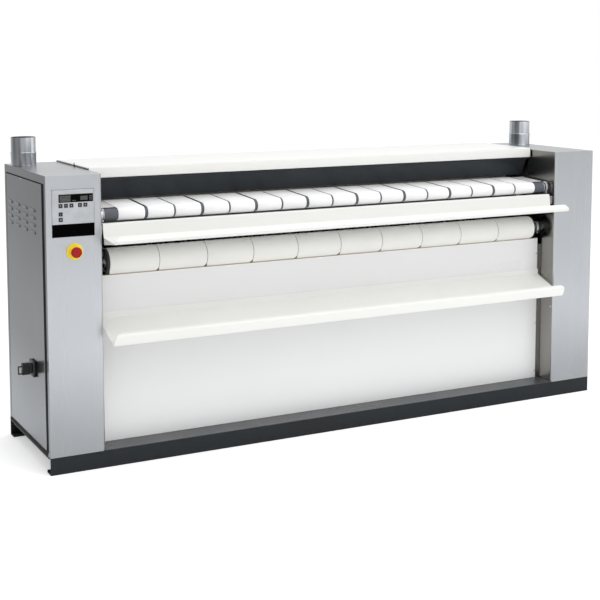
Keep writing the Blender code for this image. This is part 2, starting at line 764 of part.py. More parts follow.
def column(side):
    """A folded sheet housing: its outer side is recessed for a lift-off panel round a service opening."""
    label = side_name(side)
    shell = extrusion(f"column_{label}", [plan(side, 0, 0)], COLUMN_FOOT, HEIGHT, "Z", STAINLESS)
    room = extrusion(f"room_{label}", [plan(side, SHEET, SHEET)], COLUMN_FOOT + SHEET, HEIGHT - SHEET, "Z")
    change(room, pocket(side, SHEET))
    change(shell, room)
    for cleat in cleats(side):
        change(shell, cleat, "UNION")
    change(shell, pocket(side, 0))
    low, high = span(side, OUTER - RECESS - OVERRUN, OUTER)
    service = box(
        f"service_{label}",
        (low, FRAME_FRONT + SERVICE_MARGIN, COLUMN_FOOT + FRAME_FOOT + SERVICE_MARGIN),
        (high, DEPTH - FRAME_FRONT - SERVICE_MARGIN, HEIGHT - FRAME_TOP - SERVICE_MARGIN),
    )
    change(shell, service)
    for index, (depth, up, radius) in enumerate(shaft_places()):
        low, high = span(side, INNER - OVERRUN, INNER + SHEET + OVERRUN)
        name = f"shaft_hole_{label}_{index}"
        change(shell, cylinder(name, radius + RUNNING + GAP, (low, depth, up), (high, depth, up)))
    duct_hole = cylinder(
        f"duct_hole_{label}",
        DUCT_SLEEVE_RADIUS + RUNNING,
        (side * DUCT_X, DUCT_DEPTH, HEIGHT - OVERRUN),
        (side * DUCT_X, DUCT_DEPTH, HEIGHT + OVERRUN),
        "Z",
        DUCT_SIDES,
    )
    change(shell, duct_hole)
    if side < 0:
        cutout = box(
            "fascia_cutout",
            (PANEL_X - PANEL_WIDTH / 2, -OVERRUN, STRIP_LOW),
            (PANEL_X + PANEL_WIDTH / 2, OVERRUN, PANEL_HIGH),
        )
        change(shell, cutout)
        stem_hole = cylinder(
            "stop_hole",
            STOP_STEM_RADIUS + RUNNING,
            (STOP_X, -OVERRUN, STOP_UP),
            (STOP_X, OVERRUN, STOP_UP),
            "Y",
        )
        change(shell, stem_hole)
    return shell


def louvre_places():
    """Centres of the louvres, from the top row down, as (depth, z)."""
    first = DEPTH - LOUVRE_FROM_BACK - LOUVRE_PITCH_DEPTH * (LOUVRE_COUNT - 1) / 2
    top = HEIGHT - LOUVRE_DROP
    return [
        (first + LOUVRE_PITCH_DEPTH * column_index, top - LOUVRE_PITCH_UP * row_index)
        for column_index in range(LOUVRE_COUNT)
        for row_index in range(LOUVRE_COUNT)
    ]


def side_panel(side):
    """A lift-off panel: a folded tray of sheet with rows of pressed louvres, each open below."""
    label = side_name(side)
    depth_low = FRAME_FRONT + PANEL_REVEAL
    depth_high = DEPTH - FRAME_FRONT - PANEL_REVEAL_TOP
    up_low = COLUMN_FOOT + FRAME_FOOT + PANEL_REVEAL_TOP
    up_high = HEIGHT - FRAME_TOP - PANEL_REVEAL_TOP
    low, high = span(side, OUTER - RECESS + GAP, OUTER)
    panel = box(f"side_panel_{label}", (low, depth_low, up_low), (high, depth_high, up_high), STAINLESS)
    low, high = span(side, OUTER - RECESS - OVERRUN, OUTER - SHEET)
    inside = box(
        f"panel_inside_{label}",
        (low, depth_low + SHEET, up_low + SHEET),
        (high, depth_high - SHEET, up_high - SHEET),
    )
    change(panel, inside)
    hoods = []
    slots = []
    for index, (depth, up) in enumerate(louvre_places()):
        low, high = span(side, OUTER - SHEET / 2, OUTER + LOUVRE_OUT)
        half = LOUVRE_LENGTH / 2
        hoods.append(
            box(
                f"hood_{label}_{index}",
                (low, depth - half, up - LOUVRE_HEIGHT / 2),
                (high, depth + half, up + LOUVRE_HEIGHT / 2),
            )
        )
        low, high = span(side, OUTER - SHEET - OVERRUN, OUTER + LOUVRE_OUT / 2)
        slots.append(
            box(
                f"slot_{label}_{index}",
                (low, depth - LOUVRE_LENGTH / 3, up - LOUVRE_HEIGHT / 2 - GAP),
                (high, depth + LOUVRE_LENGTH / 3, up - LOUVRE_HEIGHT / 2 + SLOT_HEIGHT),
            )
        )
    change(panel, joined(f"hoods_{label}", hoods), "UNION")
    change(panel, joined(f"slots_{label}", slots))


def padded_roll():
    """The roll's steel tube with its welded journals, the padding round it, and its two bearings. One
    journal is drilled, so that air is drawn through the roll."""
    place = (0, ROLL_DEPTH, ROLL_UP)
    tube_radius = ROLL_RADIUS - PADDING - GAP
    bore = tube_radius - TUBE_WALL
    closed = ROLL_HALF - JOURNAL_FLANGE
    turned(
        "roll_core",
        [
            (0, JOURNAL_END),
            (JOURNAL_RADIUS, JOURNAL_END),
            (JOURNAL_RADIUS, ROLL_HALF),
            (tube_radius, ROLL_HALF),
            (tube_radius, -ROLL_HALF),
            (JOURNAL_RADIUS, -ROLL_HALF),
            (JOURNAL_RADIUS, -JOURNAL_END),
            (JOURNAL_BORE, -JOURNAL_END),
            (JOURNAL_BORE, -closed),
            (bore, -closed),
            (bore, closed),
            (0, closed),
        ],
        place,
        sides=ROLL_SIDES,
        finish=STEEL,
    )
    turned(
        "roll_padding",
        [
            (ROLL_RADIUS, ROLL_HALF),
            (ROLL_RADIUS, -ROLL_HALF),
            (tube_radius + GAP, -ROLL_HALF),
            (tube_radius + GAP, ROLL_HALF),
        ],
        place,
        sides=ROLL_SIDES,
        finish=FELT,
        hollow=True,
    )
    bearing = [
        (JOURNAL_RADIUS + RUNNING, BEARING_THICK),
        (BEARING_OUTER, BEARING_THICK),
        (BEARING_OUTER, BEARING_FLANGE_THICK),
        (BEARING_FLANGE, BEARING_FLANGE_THICK),
        (BEARING_FLANGE, 0),
        (JOURNAL_RADIUS + RUNNING, 0),
    ]
    seat = INNER + SHEET + GAP
    mirrored = [(radius, -height) for radius, height in reversed(bearing)]
    turned("roll_bearing_left", mirrored, (-seat, ROLL_DEPTH, ROLL_UP), finish=CAST, hollow=True)
    turned("roll_bearing_right", bearing, (seat, ROLL_DEPTH, ROLL_UP), finish=CAST, hollow=True)


def pulley(name, radius, bore, place, half_width, finish=CAST):
    """A flat-belt pulley with a lip on each side of its track."""
    lip = radius + PULLEY_LIP
    track = half_width - PULLEY_LIP_THICK
    profile = [
        (bore, half_width),
        (lip, half_width),
        (lip, track),
        (radius, track),
        (radius, -track),
        (lip, -track),
        (lip, -half_width),
        (bore, -half_width),
    ]
    return turned(name, profile, place, finish=finish, hollow=True)


def flat_belt(name, first, first_radius, second, second_radius, plane):
    inner = belt_loop(first, first_radius + RUNNING, second, second_radius + RUNNING, BELT_STEPS)
    outer_gap = RUNNING + BELT_THICK
    outer = belt_loop(first, first_radius + outer_gap, second, second_radius + outer_gap, BELT_STEPS)
    extrusion(name, [outer, inner], plane - BELT_WIDTH / 2, plane + BELT_WIDTH / 2, finish=BELT_RUBBER)


def return_pulley_radius():
    """The return roller's pulley gives its belts the roll's surface speed."""
    belt_radius = RETURN_RADIUS + RETURN_BELT_SLACK + RETURN_BELT_THICK
    return TRANSFER_PULLEY_RADIUS * belt_radius / ROLL_RADIUS


def drive():
    """The roll's belt drive on the left, and the return conveyor's belt drive on the right."""
    roll = (ROLL_DEPTH, ROLL_UP)
    motor = (ROLL_DEPTH, MOTOR_SHAFT_UP)
    half_width = PULLEY_WIDTH / 2
    bore = JOURNAL_RADIUS + GAP
    pulley("roll_pulley_left", ROLL_PULLEY_RADIUS, bore, (-PULLEY_PLANE, *roll), half_width)
    pulley("roll_pulley_right", TRANSFER_PULLEY_RADIUS, bore, (PULLEY_PLANE, *roll), half_width)
    flat_belt("drive_belt", motor, MOTOR_PULLEY_RADIUS, roll, ROLL_PULLEY_RADIUS, -PULLEY_PLANE)
    returning = (RETURN_REAR_DEPTH, RETURN_REAR_UP)
    radius = return_pulley_radius()
    flat_belt("transfer_belt", returning, radius, roll, TRANSFER_PULLEY_RADIUS, PULLEY_PLANE)
    lip = MOTOR_PULLEY_RADIUS + PULLEY_LIP
    track = half_width - PULLEY_LIP_THICK
    shaft_end = GEARBOX_FACE - PULLEY_PLANE - GAP
    profile = [
        (0, half_width),
        (lip, half_width),
        (lip, track),
        (MOTOR_PULLEY_RADIUS, track),
        (MOTOR_PULLEY_RADIUS, -track),
        (lip, -track),
        (lip, -half_width),
        (MOTOR_SHAFT_RADIUS, -half_width),
        (MOTOR_SHAFT_RADIUS, -shaft_end),
        (0, -shaft_end),
    ]
    turned("motor_pulley", profile, (-PULLEY_PLANE, *motor), finish=CAST)
    floor = COLUMN_FOOT + SHEET + GAP
    half = GEARBOX_LENGTH / 2
    gearbox = box(
        "gearmotor",
        (-GEARBOX_FACE - GEARBOX_WIDTH, ROLL_DEPTH - half, floor),
        (-GEARBOX_FACE, ROLL_DEPTH + half, GEARBOX_TOP),
        MOTOR_PAINT,
    )
    bevel(gearbox, GEARBOX_CHAMFER, 1)
    change(gearbox, drive_motor(ROLL_DEPTH - half + GEARBOX_CHAMFER), "UNION")


def drive_motor(face):
    """A finned motor body, its axis along the depth, flanged to the gearbox."""
    pitch = MOTOR_LENGTH / MOTOR_FIN_COUNT
    profile = [(0, 0)]
    for fin in range(MOTOR_FIN_COUNT):
        top = -fin * pitch
        profile.append((MOTOR_RADIUS, top))
        profile.append((MOTOR_RADIUS, top - pitch * MOTOR_FIN_SHARE))
        if fin < MOTOR_FIN_COUNT - 1:
            profile.append((MOTOR_RADIUS - MOTOR_FIN_HEIGHT, top - pitch * MOTOR_FIN_SHARE))
            profile.append((MOTOR_RADIUS - MOTOR_FIN_HEIGHT, top - pitch))
    profile.append((0, profile[-1][1]))
    place = (-GEARBOX_FACE - GEARBOX_WIDTH / 2, face, MOTOR_SHAFT_UP)
    return turned("motor_body", profile, place, "Y", 16)


def chest():
    """The heated trough round the roll's lower half with its end plates, its jacket and its heater."""
    centre = (ROLL_DEPTH, ROLL_UP)
    start = math.pi - CHEST_FRONT_ANGLE
    stop = 2 * math.pi + CHEST_REAR_ANGLE
    inner = ROLL_RADIUS + RUNNING
    outer = inner + CHEST_WALL
    jacket_in = outer + JACKET_GAP
    first, last = math.pi + JACKET_ANGLE, 2 * math.pi - JACKET_ANGLE
    trough = arc(centre, inner, start, stop, CHEST_STEPS) + arc(centre, outer, stop, start, CHEST_STEPS)
    body = extrusion("heated_chest", [trough], -CHEST_HALF, CHEST_HALF, finish=CHEST_STEEL)
    end_plate = arc(centre, inner + RUNNING, first, last, JACKET_STEPS) + arc(
        centre, jacket_in * END_PLATE_SHARE, last, first, JACKET_STEPS
    )
    for side in (-1, 1):
        low, high = span(side, CHEST_HALF - GAP, INNER - GAP)
        change(body, extrusion(f"end_plate_{side}", [end_plate], low, high), "UNION")
    close_in = outer + GAP
    turn_in = JACKET_WALL / outer
    skin = (
        arc(centre, jacket_in + JACKET_WALL, first, last, JACKET_STEPS)
        + arc(centre, close_in, last, last - turn_in, 1)
        + arc(centre, jacket_in, last - turn_in, first + turn_in, JACKET_STEPS)
        + arc(centre, close_in, first + turn_in, first, 1)
    )
    jacket_half = CHEST_HALF - GAP * 2
    extrusion("chest_jacket", [skin], -jacket_half, jacket_half, finish=GALVANISED)
    heater(centre, (outer + jacket_in) / 2)


def heater(centre, reach):
    """One tube running to and fro under the trough, clipped against it."""
    radius = reach - HEATER_OFFSET
    first = 3 * math.pi / 2 - HEATER_SPREAD / 2
    angles = [first + index / (HEATER_COUNT - 1) * HEATER_SPREAD for index in range(HEATER_COUNT)]
    points = []
    for index, angle in enumerate(angles):
        side = -1 if index % 2 else 1
        half = CHEST_HALF - HEATER_END
        points += [(-side * half, angle), (side * half, angle)]
        if index < HEATER_COUNT - 1:
            step = angles[index + 1] - angle
            points += [
                (
                    side * (half + HEATER_TURN * math.sin(math.pi * turn / HEATER_TURN_STEPS)),
                    angle + step * (1 - math.cos(math.pi * turn / HEATER_TURN_STEPS)) / 2,
                )
                for turn in range(1, HEATER_TURN_STEPS)
            ]
    curve = bpy.data.curves.new("heater", "CURVE")
    curve.dimensions = "3D"
    curve.bevel_depth = HEATER_RADIUS
    curve.bevel_resolution = 1
    curve.use_fill_caps = True
    spline = curve.splines.new("POLY")
    spline.points.add(len(points) - 1)
    for point, (x, angle) in zip(spline.points, points):
        point.co = (x, at(centre[0]) + radius * math.cos(angle), centre[1] + radius * math.sin(angle), 1)
    tube = bpy.data.objects.new("heater", curve)
    cutters.objects.link(tube)
    graph = bpy.context.evaluated_depsgraph_get()
    mesh = bpy.data.meshes.new_from_object(tube.evaluated_get(graph))
    bpy.data.objects.remove(tube, do_unlink=True)
    bm = bmesh.new()
    bm.from_mesh(mesh)
    bpy.data.meshes.remove(mesh)
    bmesh.ops.remove_doubles(bm, verts=bm.verts[:], dist=0.00001)
    add_object("chest_heater", mesh_from(bm, "chest_heater"), STEEL)


def conveyor_belts(name, first, second, inner_radius, thickness, count, pitch, width, steps):
    """A row of endless belts round two rollers, held together by a narrow web on their lower run."""
    outer_radius = inner_radius + thickness
    inner = belt_loop(first, inner_radius, second, inner_radius, steps)
    outer = belt_loop(first, outer_radius, second, outer_radius, steps)
    start = -pitch * (count - 1) / 2
    belts = extrusion(name, [outer, inner], start - width / 2, start + width / 2, finish=CLOTH)
    row(belts, count, pitch)
    along = (Vector(second) - Vector(first)).normalized()
    down = Vector((along.y, -along.x))
    middle = (Vector(first) + Vector(second)) / 2
    reach = along * (BELT_WEB_WIDTH / 2)
    top, bottom = down * (inner_radius + thickness / 4), down * (outer_radius - thickness / 4)
    corners = [middle - reach + top, middle + reach + top, middle + reach + bottom, middle - reach + bottom]
    web = extrusion(f"{name}_web", [[tuple(corner) for corner in corners]], start, -start)
    change(belts, web, "UNION")


def feed_conveyor():
    front = (FEED_FRONT_DEPTH, FEED_FRONT_UP)
    rear = (FEED_REAR_DEPTH, FEED_REAR_UP)
    journal_end = INNER + SHEET + FLANGE_HUB_LENGTH
    profile = [
        (0, journal_end),
        (ROLLER_JOURNAL, journal_end),
        (ROLLER_JOURNAL, FEED_ROLLER_HALF),
        (FEED_RADIUS, FEED_ROLLER_HALF),
        (FEED_RADIUS, -FEED_ROLLER_HALF),
        (ROLLER_JOURNAL, -FEED_ROLLER_HALF),
        (ROLLER_JOURNAL, -journal_end),
        (0, -journal_end),
    ]
    turned("feed_roller_front", profile, (0, *front), sides=FEED_SIDES, finish=RUBBER)
    turned("feed_roller_rear", profile, (0, *rear), sides=FEED_SIDES, finish=RUBBER)
    conveyor_belts(
        "feed_belts",
        front,
        rear,
        FEED_RADIUS + FEED_BELT_SLACK,
        FEED_BELT_THICK,
        FEED_BELT_COUNT,
        FEED_BELT_PITCH,
        FEED_BELT_WIDTH,
        FEED_BELT_STEPS,
    )
    conveyor_plates("feed", front, rear)
    motor_face = journal_end + GAP
    cylinder(
        "feed_motor",
        FEED_MOTOR_RADIUS,
        (motor_face, *rear),
        (motor_face + FEED_MOTOR_LENGTH, *rear),
        finish=MOTOR_PAINT,
    )


def conveyor_plates(name, first, second):
    """A plate on each column's inner wall that carries both rollers of a conveyor in bearing hubs."""
    for side in (-1, 1):
        label = side_name(side)
        outline = belt_loop(first, FLANGE_BEARING_RADIUS, second, FLANGE_BEARING_RADIUS, FEED_BELT_STEPS)
        low, high = span(side, INNER - GAP - FLANGE_BEARING_THICK, INNER - GAP)
        plate = extrusion(f"{name}_plate_{label}", [outline], low, high, finish=CAST)
        for index, place in enumerate((first, second)):
            low, high = span(side, INNER - GAP - FLANGE_HUB_LENGTH, INNER - GAP - FLANGE_BEARING_THICK / 2)
            hub = cylinder(f"{name}_hub_{label}_{index}", FLANGE_HUB_RADIUS, (low, *place), (high, *place))
            change(plate, hub, "UNION")
            low, high = span(side, INNER - OVERRUN, INNER + OVERRUN)
            bore = cylinder(
                f"{name}_bore_{label}_{index}", ROLLER_JOURNAL + RUNNING, (low, *place), (high, *place)
            )
            change(plate, bore)


def return_conveyor():
    front = (RETURN_FRONT_DEPTH, RETURN_FRONT_UP)
    rear = (RETURN_REAR_DEPTH, RETURN_REAR_UP)
    floor = RETURN_ROLLER_HALF - RETURN_RECESS
    left_end = INNER + SHEET + FLANGE_HUB_LENGTH
    half = [
        (ROLLER_JOURNAL, floor + RETURN_RECESS),
        (RETURN_HUB_RADIUS, floor + RETURN_RECESS),
        (RETURN_HUB_RADIUS, floor),
        (RETURN_RECESS_RADIUS, floor),
        (RETURN_RECESS_RADIUS, RETURN_ROLLER_HALF),
        (RETURN_RADIUS, RETURN_ROLLER_HALF),
    ]
    other_half = [(around, -height) for around, height in reversed(half)]
    conveyor_plates("return", front, rear)
    track = return_pulley_radius()
    lip = track + PULLEY_LIP
    outer = PULLEY_PLANE + PULLEY_WIDTH / 2
    inner = PULLEY_PLANE - PULLEY_WIDTH / 2
    pulley_end = [
        (0, outer),
        (lip, outer),
        (lip, outer - PULLEY_LIP_THICK),
        (track, outer - PULLEY_LIP_THICK),
        (track, inner + PULLEY_LIP_THICK),
        (lip, inner + PULLEY_LIP_THICK),
        (lip, inner),
        (ROLLER_JOURNAL, inner),
    ]
    plain_end = [(0, left_end), (ROLLER_JOURNAL, left_end)]
    for name, place, right_end in (
        ("return_roller_front", front, plain_end),
        ("return_roller_rear", rear, pulley_end),
    ):
        profile = right_end + half + other_half + [(ROLLER_JOURNAL, -left_end), (0, -left_end)]
        turned(name, profile, (0, *place), sides=RETURN_SIDES, finish=RUBBER)
    conveyor_belts(
        "return_belts",
        front,
        rear,
        RETURN_RADIUS + RETURN_BELT_SLACK,
        RETURN_BELT_THICK,
        RETURN_BELT_COUNT,
        RETURN_BELT_PITCH,
        RETURN_BELT_WIDTH,
        RETURN_BELT_STEPS,
    )


def feed_table():
    outline = [TABLE_BACK, TABLE_TOP, TABLE_HEEL, TABLE_NOSE, TABLE_LIP, TABLE_HEM]
    path = bent([(depth, TABLE_UP + rise) for depth, rise in outline], TABLE_BEND)
    sheet("feed_table", path, -table_end(-1), table_end(1), TABLE_WALL, WHITE, offset=1)


def front_panel():
    """The white panel below the return conveyor."""
    box(
        "front_panel",
        (-PANEL_HALF, PANEL_DEPTH, PAN_TOP + GAP),
        (PANEL_HALF, PANEL_DEPTH + SHEET, PANEL_TOP),
        WHITE,
    )


def receiving_tray():
    """A bent sheet on the front panel: a slope, an upturned lip and its hem."""
    back = PANEL_DEPTH - TRAY_WALL - GAP
    outline = [
        (back, TRAY_ROOT_RISE + TRAY_FLANGE),
        (back, TRAY_ROOT_RISE),
        TRAY_VERTEX,
        TRAY_LIP,
        TRAY_HEM,
    ]
    path = bent([(depth, TRAY_UP + rise) for depth, rise in outline], TRAY_BEND)
    sheet("receiving_tray", path, -TRAY_HALF, TRAY_HALF, TRAY_WALL, WHITE, offset=1)


def covers():
    path = bent(
        [
            (COVER_FRONT_DEPTH + COVER_HEM, COVER_TOP - COVER_LIP),
            (COVER_FRONT_DEPTH, COVER_TOP - COVER_LIP),
            (COVER_FRONT_DEPTH, COVER_TOP),
            (DEPTH, COVER_TOP),
            (DEPTH, COVER_TOP - COVER_REAR_LIP),
        ],
        COVER_BEND,
    )
    sheet("top_cover", path, -COVER_HALF, COVER_HALF, COVER_WALL, WHITE, offset=-1)
    box(
        "back_panel",
        (-INNER + GAP, BACK_DEPTH, PAN_TOP + GAP),
        (INNER - GAP, BACK_DEPTH + SHEET, COVER_TOP - COVER_WALL - COVER_BEND),
        GALVANISED,
    )
    path = bent([(DEFLECTOR_BACK, DEFLECTOR_TOP_UP), (DEFLECTOR_BACK, DEFLECTOR_KNEE_UP), DEFLECTOR_FOOT],
                DEFLECTOR_BEND, DEFLECTOR_STEPS)
    flange = [(BACK_DEPTH - GAP, DEFLECTOR_TOP_UP)]
    sheet("linen_deflector", flange + path, -COVER_HALF, COVER_HALF, DEFLECTOR_WALL, GALVANISED, offset=-1)


def finger_guard():
    """A plate hung on two pins above the feed belts, with a rolled barrel along its top."""
    pivot = Vector(GUARD_PIVOT)
    edge = Vector(GUARD_EDGE)
    fall = (edge - pivot).normalized()
    across = Vector((fall.y, -fall.x)) * (GUARD_WALL / 2)
    plate = extrusion(
        "finger_guard",
        [[tuple(pivot - across), tuple(edge - across), tuple(edge + across), tuple(pivot + across)]],
        -GUARD_HALF,
        GUARD_HALF,
        finish=GUARD_GREY,
    )
    barrel = turned(
        "guard_barrel",
        [
            (0, GUARD_PIN_END),
            (GUARD_PIN_RADIUS, GUARD_PIN_END),
            (GUARD_PIN_RADIUS, GUARD_HALF),
            (GUARD_BARREL, GUARD_HALF),
            (GUARD_BARREL, -GUARD_HALF),
            (GUARD_PIN_RADIUS, -GUARD_HALF),
            (GUARD_PIN_RADIUS, -GUARD_PIN_END),
            (0, -GUARD_PIN_END),
        ],
        (0, *GUARD_PIVOT),
        sides=16,
    )
    change(plate, barrel, "UNION")
    hang(plate, (0, *GUARD_PIVOT))


def fan_spiral(wall):
    """The scroll's outline, drawn in by its wall, from the outlet's top round the fan and back."""
    reach = DUCT_DEPTH + FAN_OUTLET_WIDTH / 2 - FAN_DEPTH - wall
    start = FAN_SPIRAL_START - wall
    top = FAN_OUTLET_UP + (OVERRUN if wall else 0)
    points = [(FAN_DEPTH + reach, top)]
    turns = 3 * math.pi / 2
    for step in range(FAN_STEPS + 1):
        share = step / FAN_STEPS
        radius = reach + (start - reach) * share
        angle = -turns * share
        points.append((FAN_DEPTH + radius * math.cos(angle), FAN_UP + radius * math.sin(angle)))
    inner = DUCT_DEPTH - FAN_OUTLET_WIDTH / 2 + wall
    points.append((inner, FAN_UP + start))
    points.append((inner, top))
    return points


def exhaust(side):
    """A centrifugal fan in the column, blowing up into the duct: its housing, impeller and motor."""
    label = side_name(side)
    axis = (FAN_DEPTH, FAN_UP)
    near, far = DUCT_X - FAN_HOUSING_WIDTH / 2, DUCT_X + FAN_HOUSING_WIDTH / 2
    low, high = span(side, near, far)
    housing = extrusion(f"fan_housing_{label}", [fan_spiral(0)], low, high, finish=GALVANISED)
    change(housing, extrusion(f"scroll_{label}", [fan_spiral(FAN_WALL)], low + FAN_WALL, high - FAN_WALL))
    low, high = span(side, DUCT_X, far + OVERRUN)
    change(housing, cylinder(f"inlet_{label}", FAN_INLET_RADIUS, (low, *axis), (high, *axis)))
    low, high = span(side, near - OVERRUN, DUCT_X)
    passage = cylinder(f"passage_{label}", FAN_SHAFT_RADIUS + RUNNING, (low, *axis), (high, *axis))
    change(housing, passage)
    impeller(side, axis)
    low, high = span(side, near - GAP - FAN_MOTOR_LENGTH, near - GAP)
    cylinder(f"fan_motor_{label}", FAN_MOTOR_RADIUS, (low, *axis), (high, *axis), finish=MOTOR_PAINT)


def impeller(side, axis):
    """A disc with a ring of curved-back blades and a shaft to the motor."""
    label = side_name(side)
    inside = FAN_HOUSING_WIDTH / 2 - FAN_WALL
    disc_near = DUCT_X - inside + IMPELLER_MARGIN
    disc_far = disc_near + IMPELLER_DISC
    blade_end = DUCT_X + inside - IMPELLER_MARGIN
    shaft_start = DUCT_X - FAN_HOUSING_WIDTH / 2
    profile = [
        (0, blade_end - IMPELLER_MARGIN),
        (IMPELLER_HUB_RADIUS, blade_end - IMPELLER_MARGIN),
        (IMPELLER_HUB_RADIUS, disc_far),
        (IMPELLER_RADIUS, disc_far),
        (IMPELLER_RADIUS, disc_near),
        (FAN_SHAFT_RADIUS, disc_near),
        (FAN_SHAFT_RADIUS, shaft_start),
        (0, shaft_start),
    ]
    if side < 0:
        profile = [(radius, -height) for radius, height in reversed(profile)]
    wheel = turned(f"fan_impeller_{label}", profile, (0, *axis), finish=GALVANISED)
    low, high = span(side, disc_far - IMPELLER_DISC / 2, blade_end)
    blades = []
    for index in range(IMPELLER_BLADES):
        turn = 2 * math.pi * index / IMPELLER_BLADES
        lean = math.pi / IMPELLER_BLADES
        outer = IMPELLER_RADIUS - IMPELLER_BLADE_THICK
        first = Vector((math.cos(turn), math.sin(turn))) * IMPELLER_BLADE_INNER
        last = Vector((math.cos(turn - lean), math.sin(turn - lean))) * outer
        across = Vector((last.y - first.y, first.x - last.x)).normalized() * (IMPELLER_BLADE_THICK / 2)
        corners = [first - across, last - across, last + across, first + across]
        outline = [(axis[0] + corner.x, axis[1] + corner.y) for corner in corners]
        blades.append(extrusion(f"blade_{label}_{index}", [outline], low, high))
    change(wheel, joined(f"blades_{label}", blades), "UNION")


def duct(side):
    """A duct stub: a sleeve through the column's top with a collar on it, a beaded seam, and a flange
    turned in over the fan's outlet."""
    bore = DUCT_SLEEVE_RADIUS - DUCT_WALL
    foot = FAN_OUTLET_UP + GAP
    collar = HEIGHT + GAP
    profile = [
        (bore, DUCT_TOP),
        (DUCT_SLEEVE_RADIUS, DUCT_TOP),
        (DUCT_SLEEVE_RADIUS, DUCT_SEAM_UP + DUCT_BEAD_HALF),
        (DUCT_RADIUS + DUCT_BEAD, DUCT_SEAM_UP),
        (DUCT_RADIUS, DUCT_SEAM_UP - DUCT_BEAD_HALF),
        (DUCT_RADIUS, collar + DUCT_COLLAR_THICK),
        (DUCT_RADIUS + DUCT_COLLAR, collar + DUCT_COLLAR_THICK),
        (DUCT_RADIUS + DUCT_COLLAR, collar),
        (DUCT_SLEEVE_RADIUS, collar),
        (DUCT_SLEEVE_RADIUS, foot),
        (DUCT_FOOT_RADIUS, foot),
        (DUCT_FOOT_RADIUS, foot + DUCT_WALL),
        (bore, foot + DUCT_WALL),
    ]
    place = (side * DUCT_X, DUCT_DEPTH, 0)
    turned(f"exhaust_duct_{side_name(side)}", profile, place, "Z", DUCT_SIDES, GALVANISED, hollow=True)


def key_places():
    row_keys = [(PANEL_X + x, PANEL_HIGH - KEY_ROW_DROP) for x in KEY_ROW_X]
    return row_keys + [(PANEL_X + KEY_ROW_X[0], PANEL_HIGH - drop) for drop in KEY_COLUMN_DROP]


def control_panel():
    """The fascia plate with its window and keys, and the board behind them with the dark strip below."""
    left, right = PANEL_X - PANEL_WIDTH / 2 + GAP, PANEL_X + PANEL_WIDTH / 2 - GAP
    front, back = -FASCIA_PROUD, FASCIA_THICK - FASCIA_PROUD
    fascia = box("control_fascia", (left, front, PANEL_LOW), (right, back, PANEL_HIGH - GAP), FASCIA)
    half_hole = KEY_SIZE / 2 + KEY_GAP
    for index, (x, up) in enumerate(key_places()):
        hole = box(
            f"key_hole_{index}",
            (x - half_hole, front - OVERRUN, up - half_hole),
            (x + half_hole, back + OVERRUN, up + half_hole),
        )
        change(fascia, hole)
        half = KEY_SIZE / 2
        proud = front - GAP * 2
        box(f"key_{index + 1}", (x - half, proud, up - half), (x + half, proud + KEY_THICK, up + half), BLACK)
    window_left, window_right = PANEL_X + DISPLAY_X[0], PANEL_X + DISPLAY_X[1]
    window_low, window_high = PANEL_HIGH - DISPLAY_DROP[0], PANEL_HIGH - DISPLAY_DROP[1]
    window = box(
        "window_recess",
        (window_left, front - OVERRUN, window_low),
        (window_right, front + DISPLAY_THICK, window_high),
    )
    change(fascia, window)
    box(
        "display_window",
        (window_left + GAP, front + GAP, window_low + GAP),
        (window_right - GAP, front + DISPLAY_THICK - GAP, window_high - GAP),
        GLASS,
    )
    rim = BACKING_MARGIN
    backing = box(
        "control_board",
        (left - rim, SHEET + GAP, STRIP_LOW - rim),
        (right + rim, back + BACKING_GAP + BACKING_THICK, PANEL_HIGH + rim),
        BLACK,
    )
    step = box(
        "board_step",
        (left - GAP * 2, -OVERRUN, PANEL_LOW - GAP),
        (right + GAP * 2, back + GAP, PANEL_HIGH + GAP),
    )
    change(backing, step)
    strip = box("lower_strip", (left, front, STRIP_LOW + GAP), (right, back, PANEL_LOW - GAP))
    change(backing, strip, "UNION")
    for index, (x, up) in enumerate(key_places()):
        well = box(
            f"key_well_{index}",
            (x - half_hole, -OVERRUN, up - half_hole),
            (x + half_hole, back + BACKING_GAP, up + half_hole),
        )
        change(backing, well)


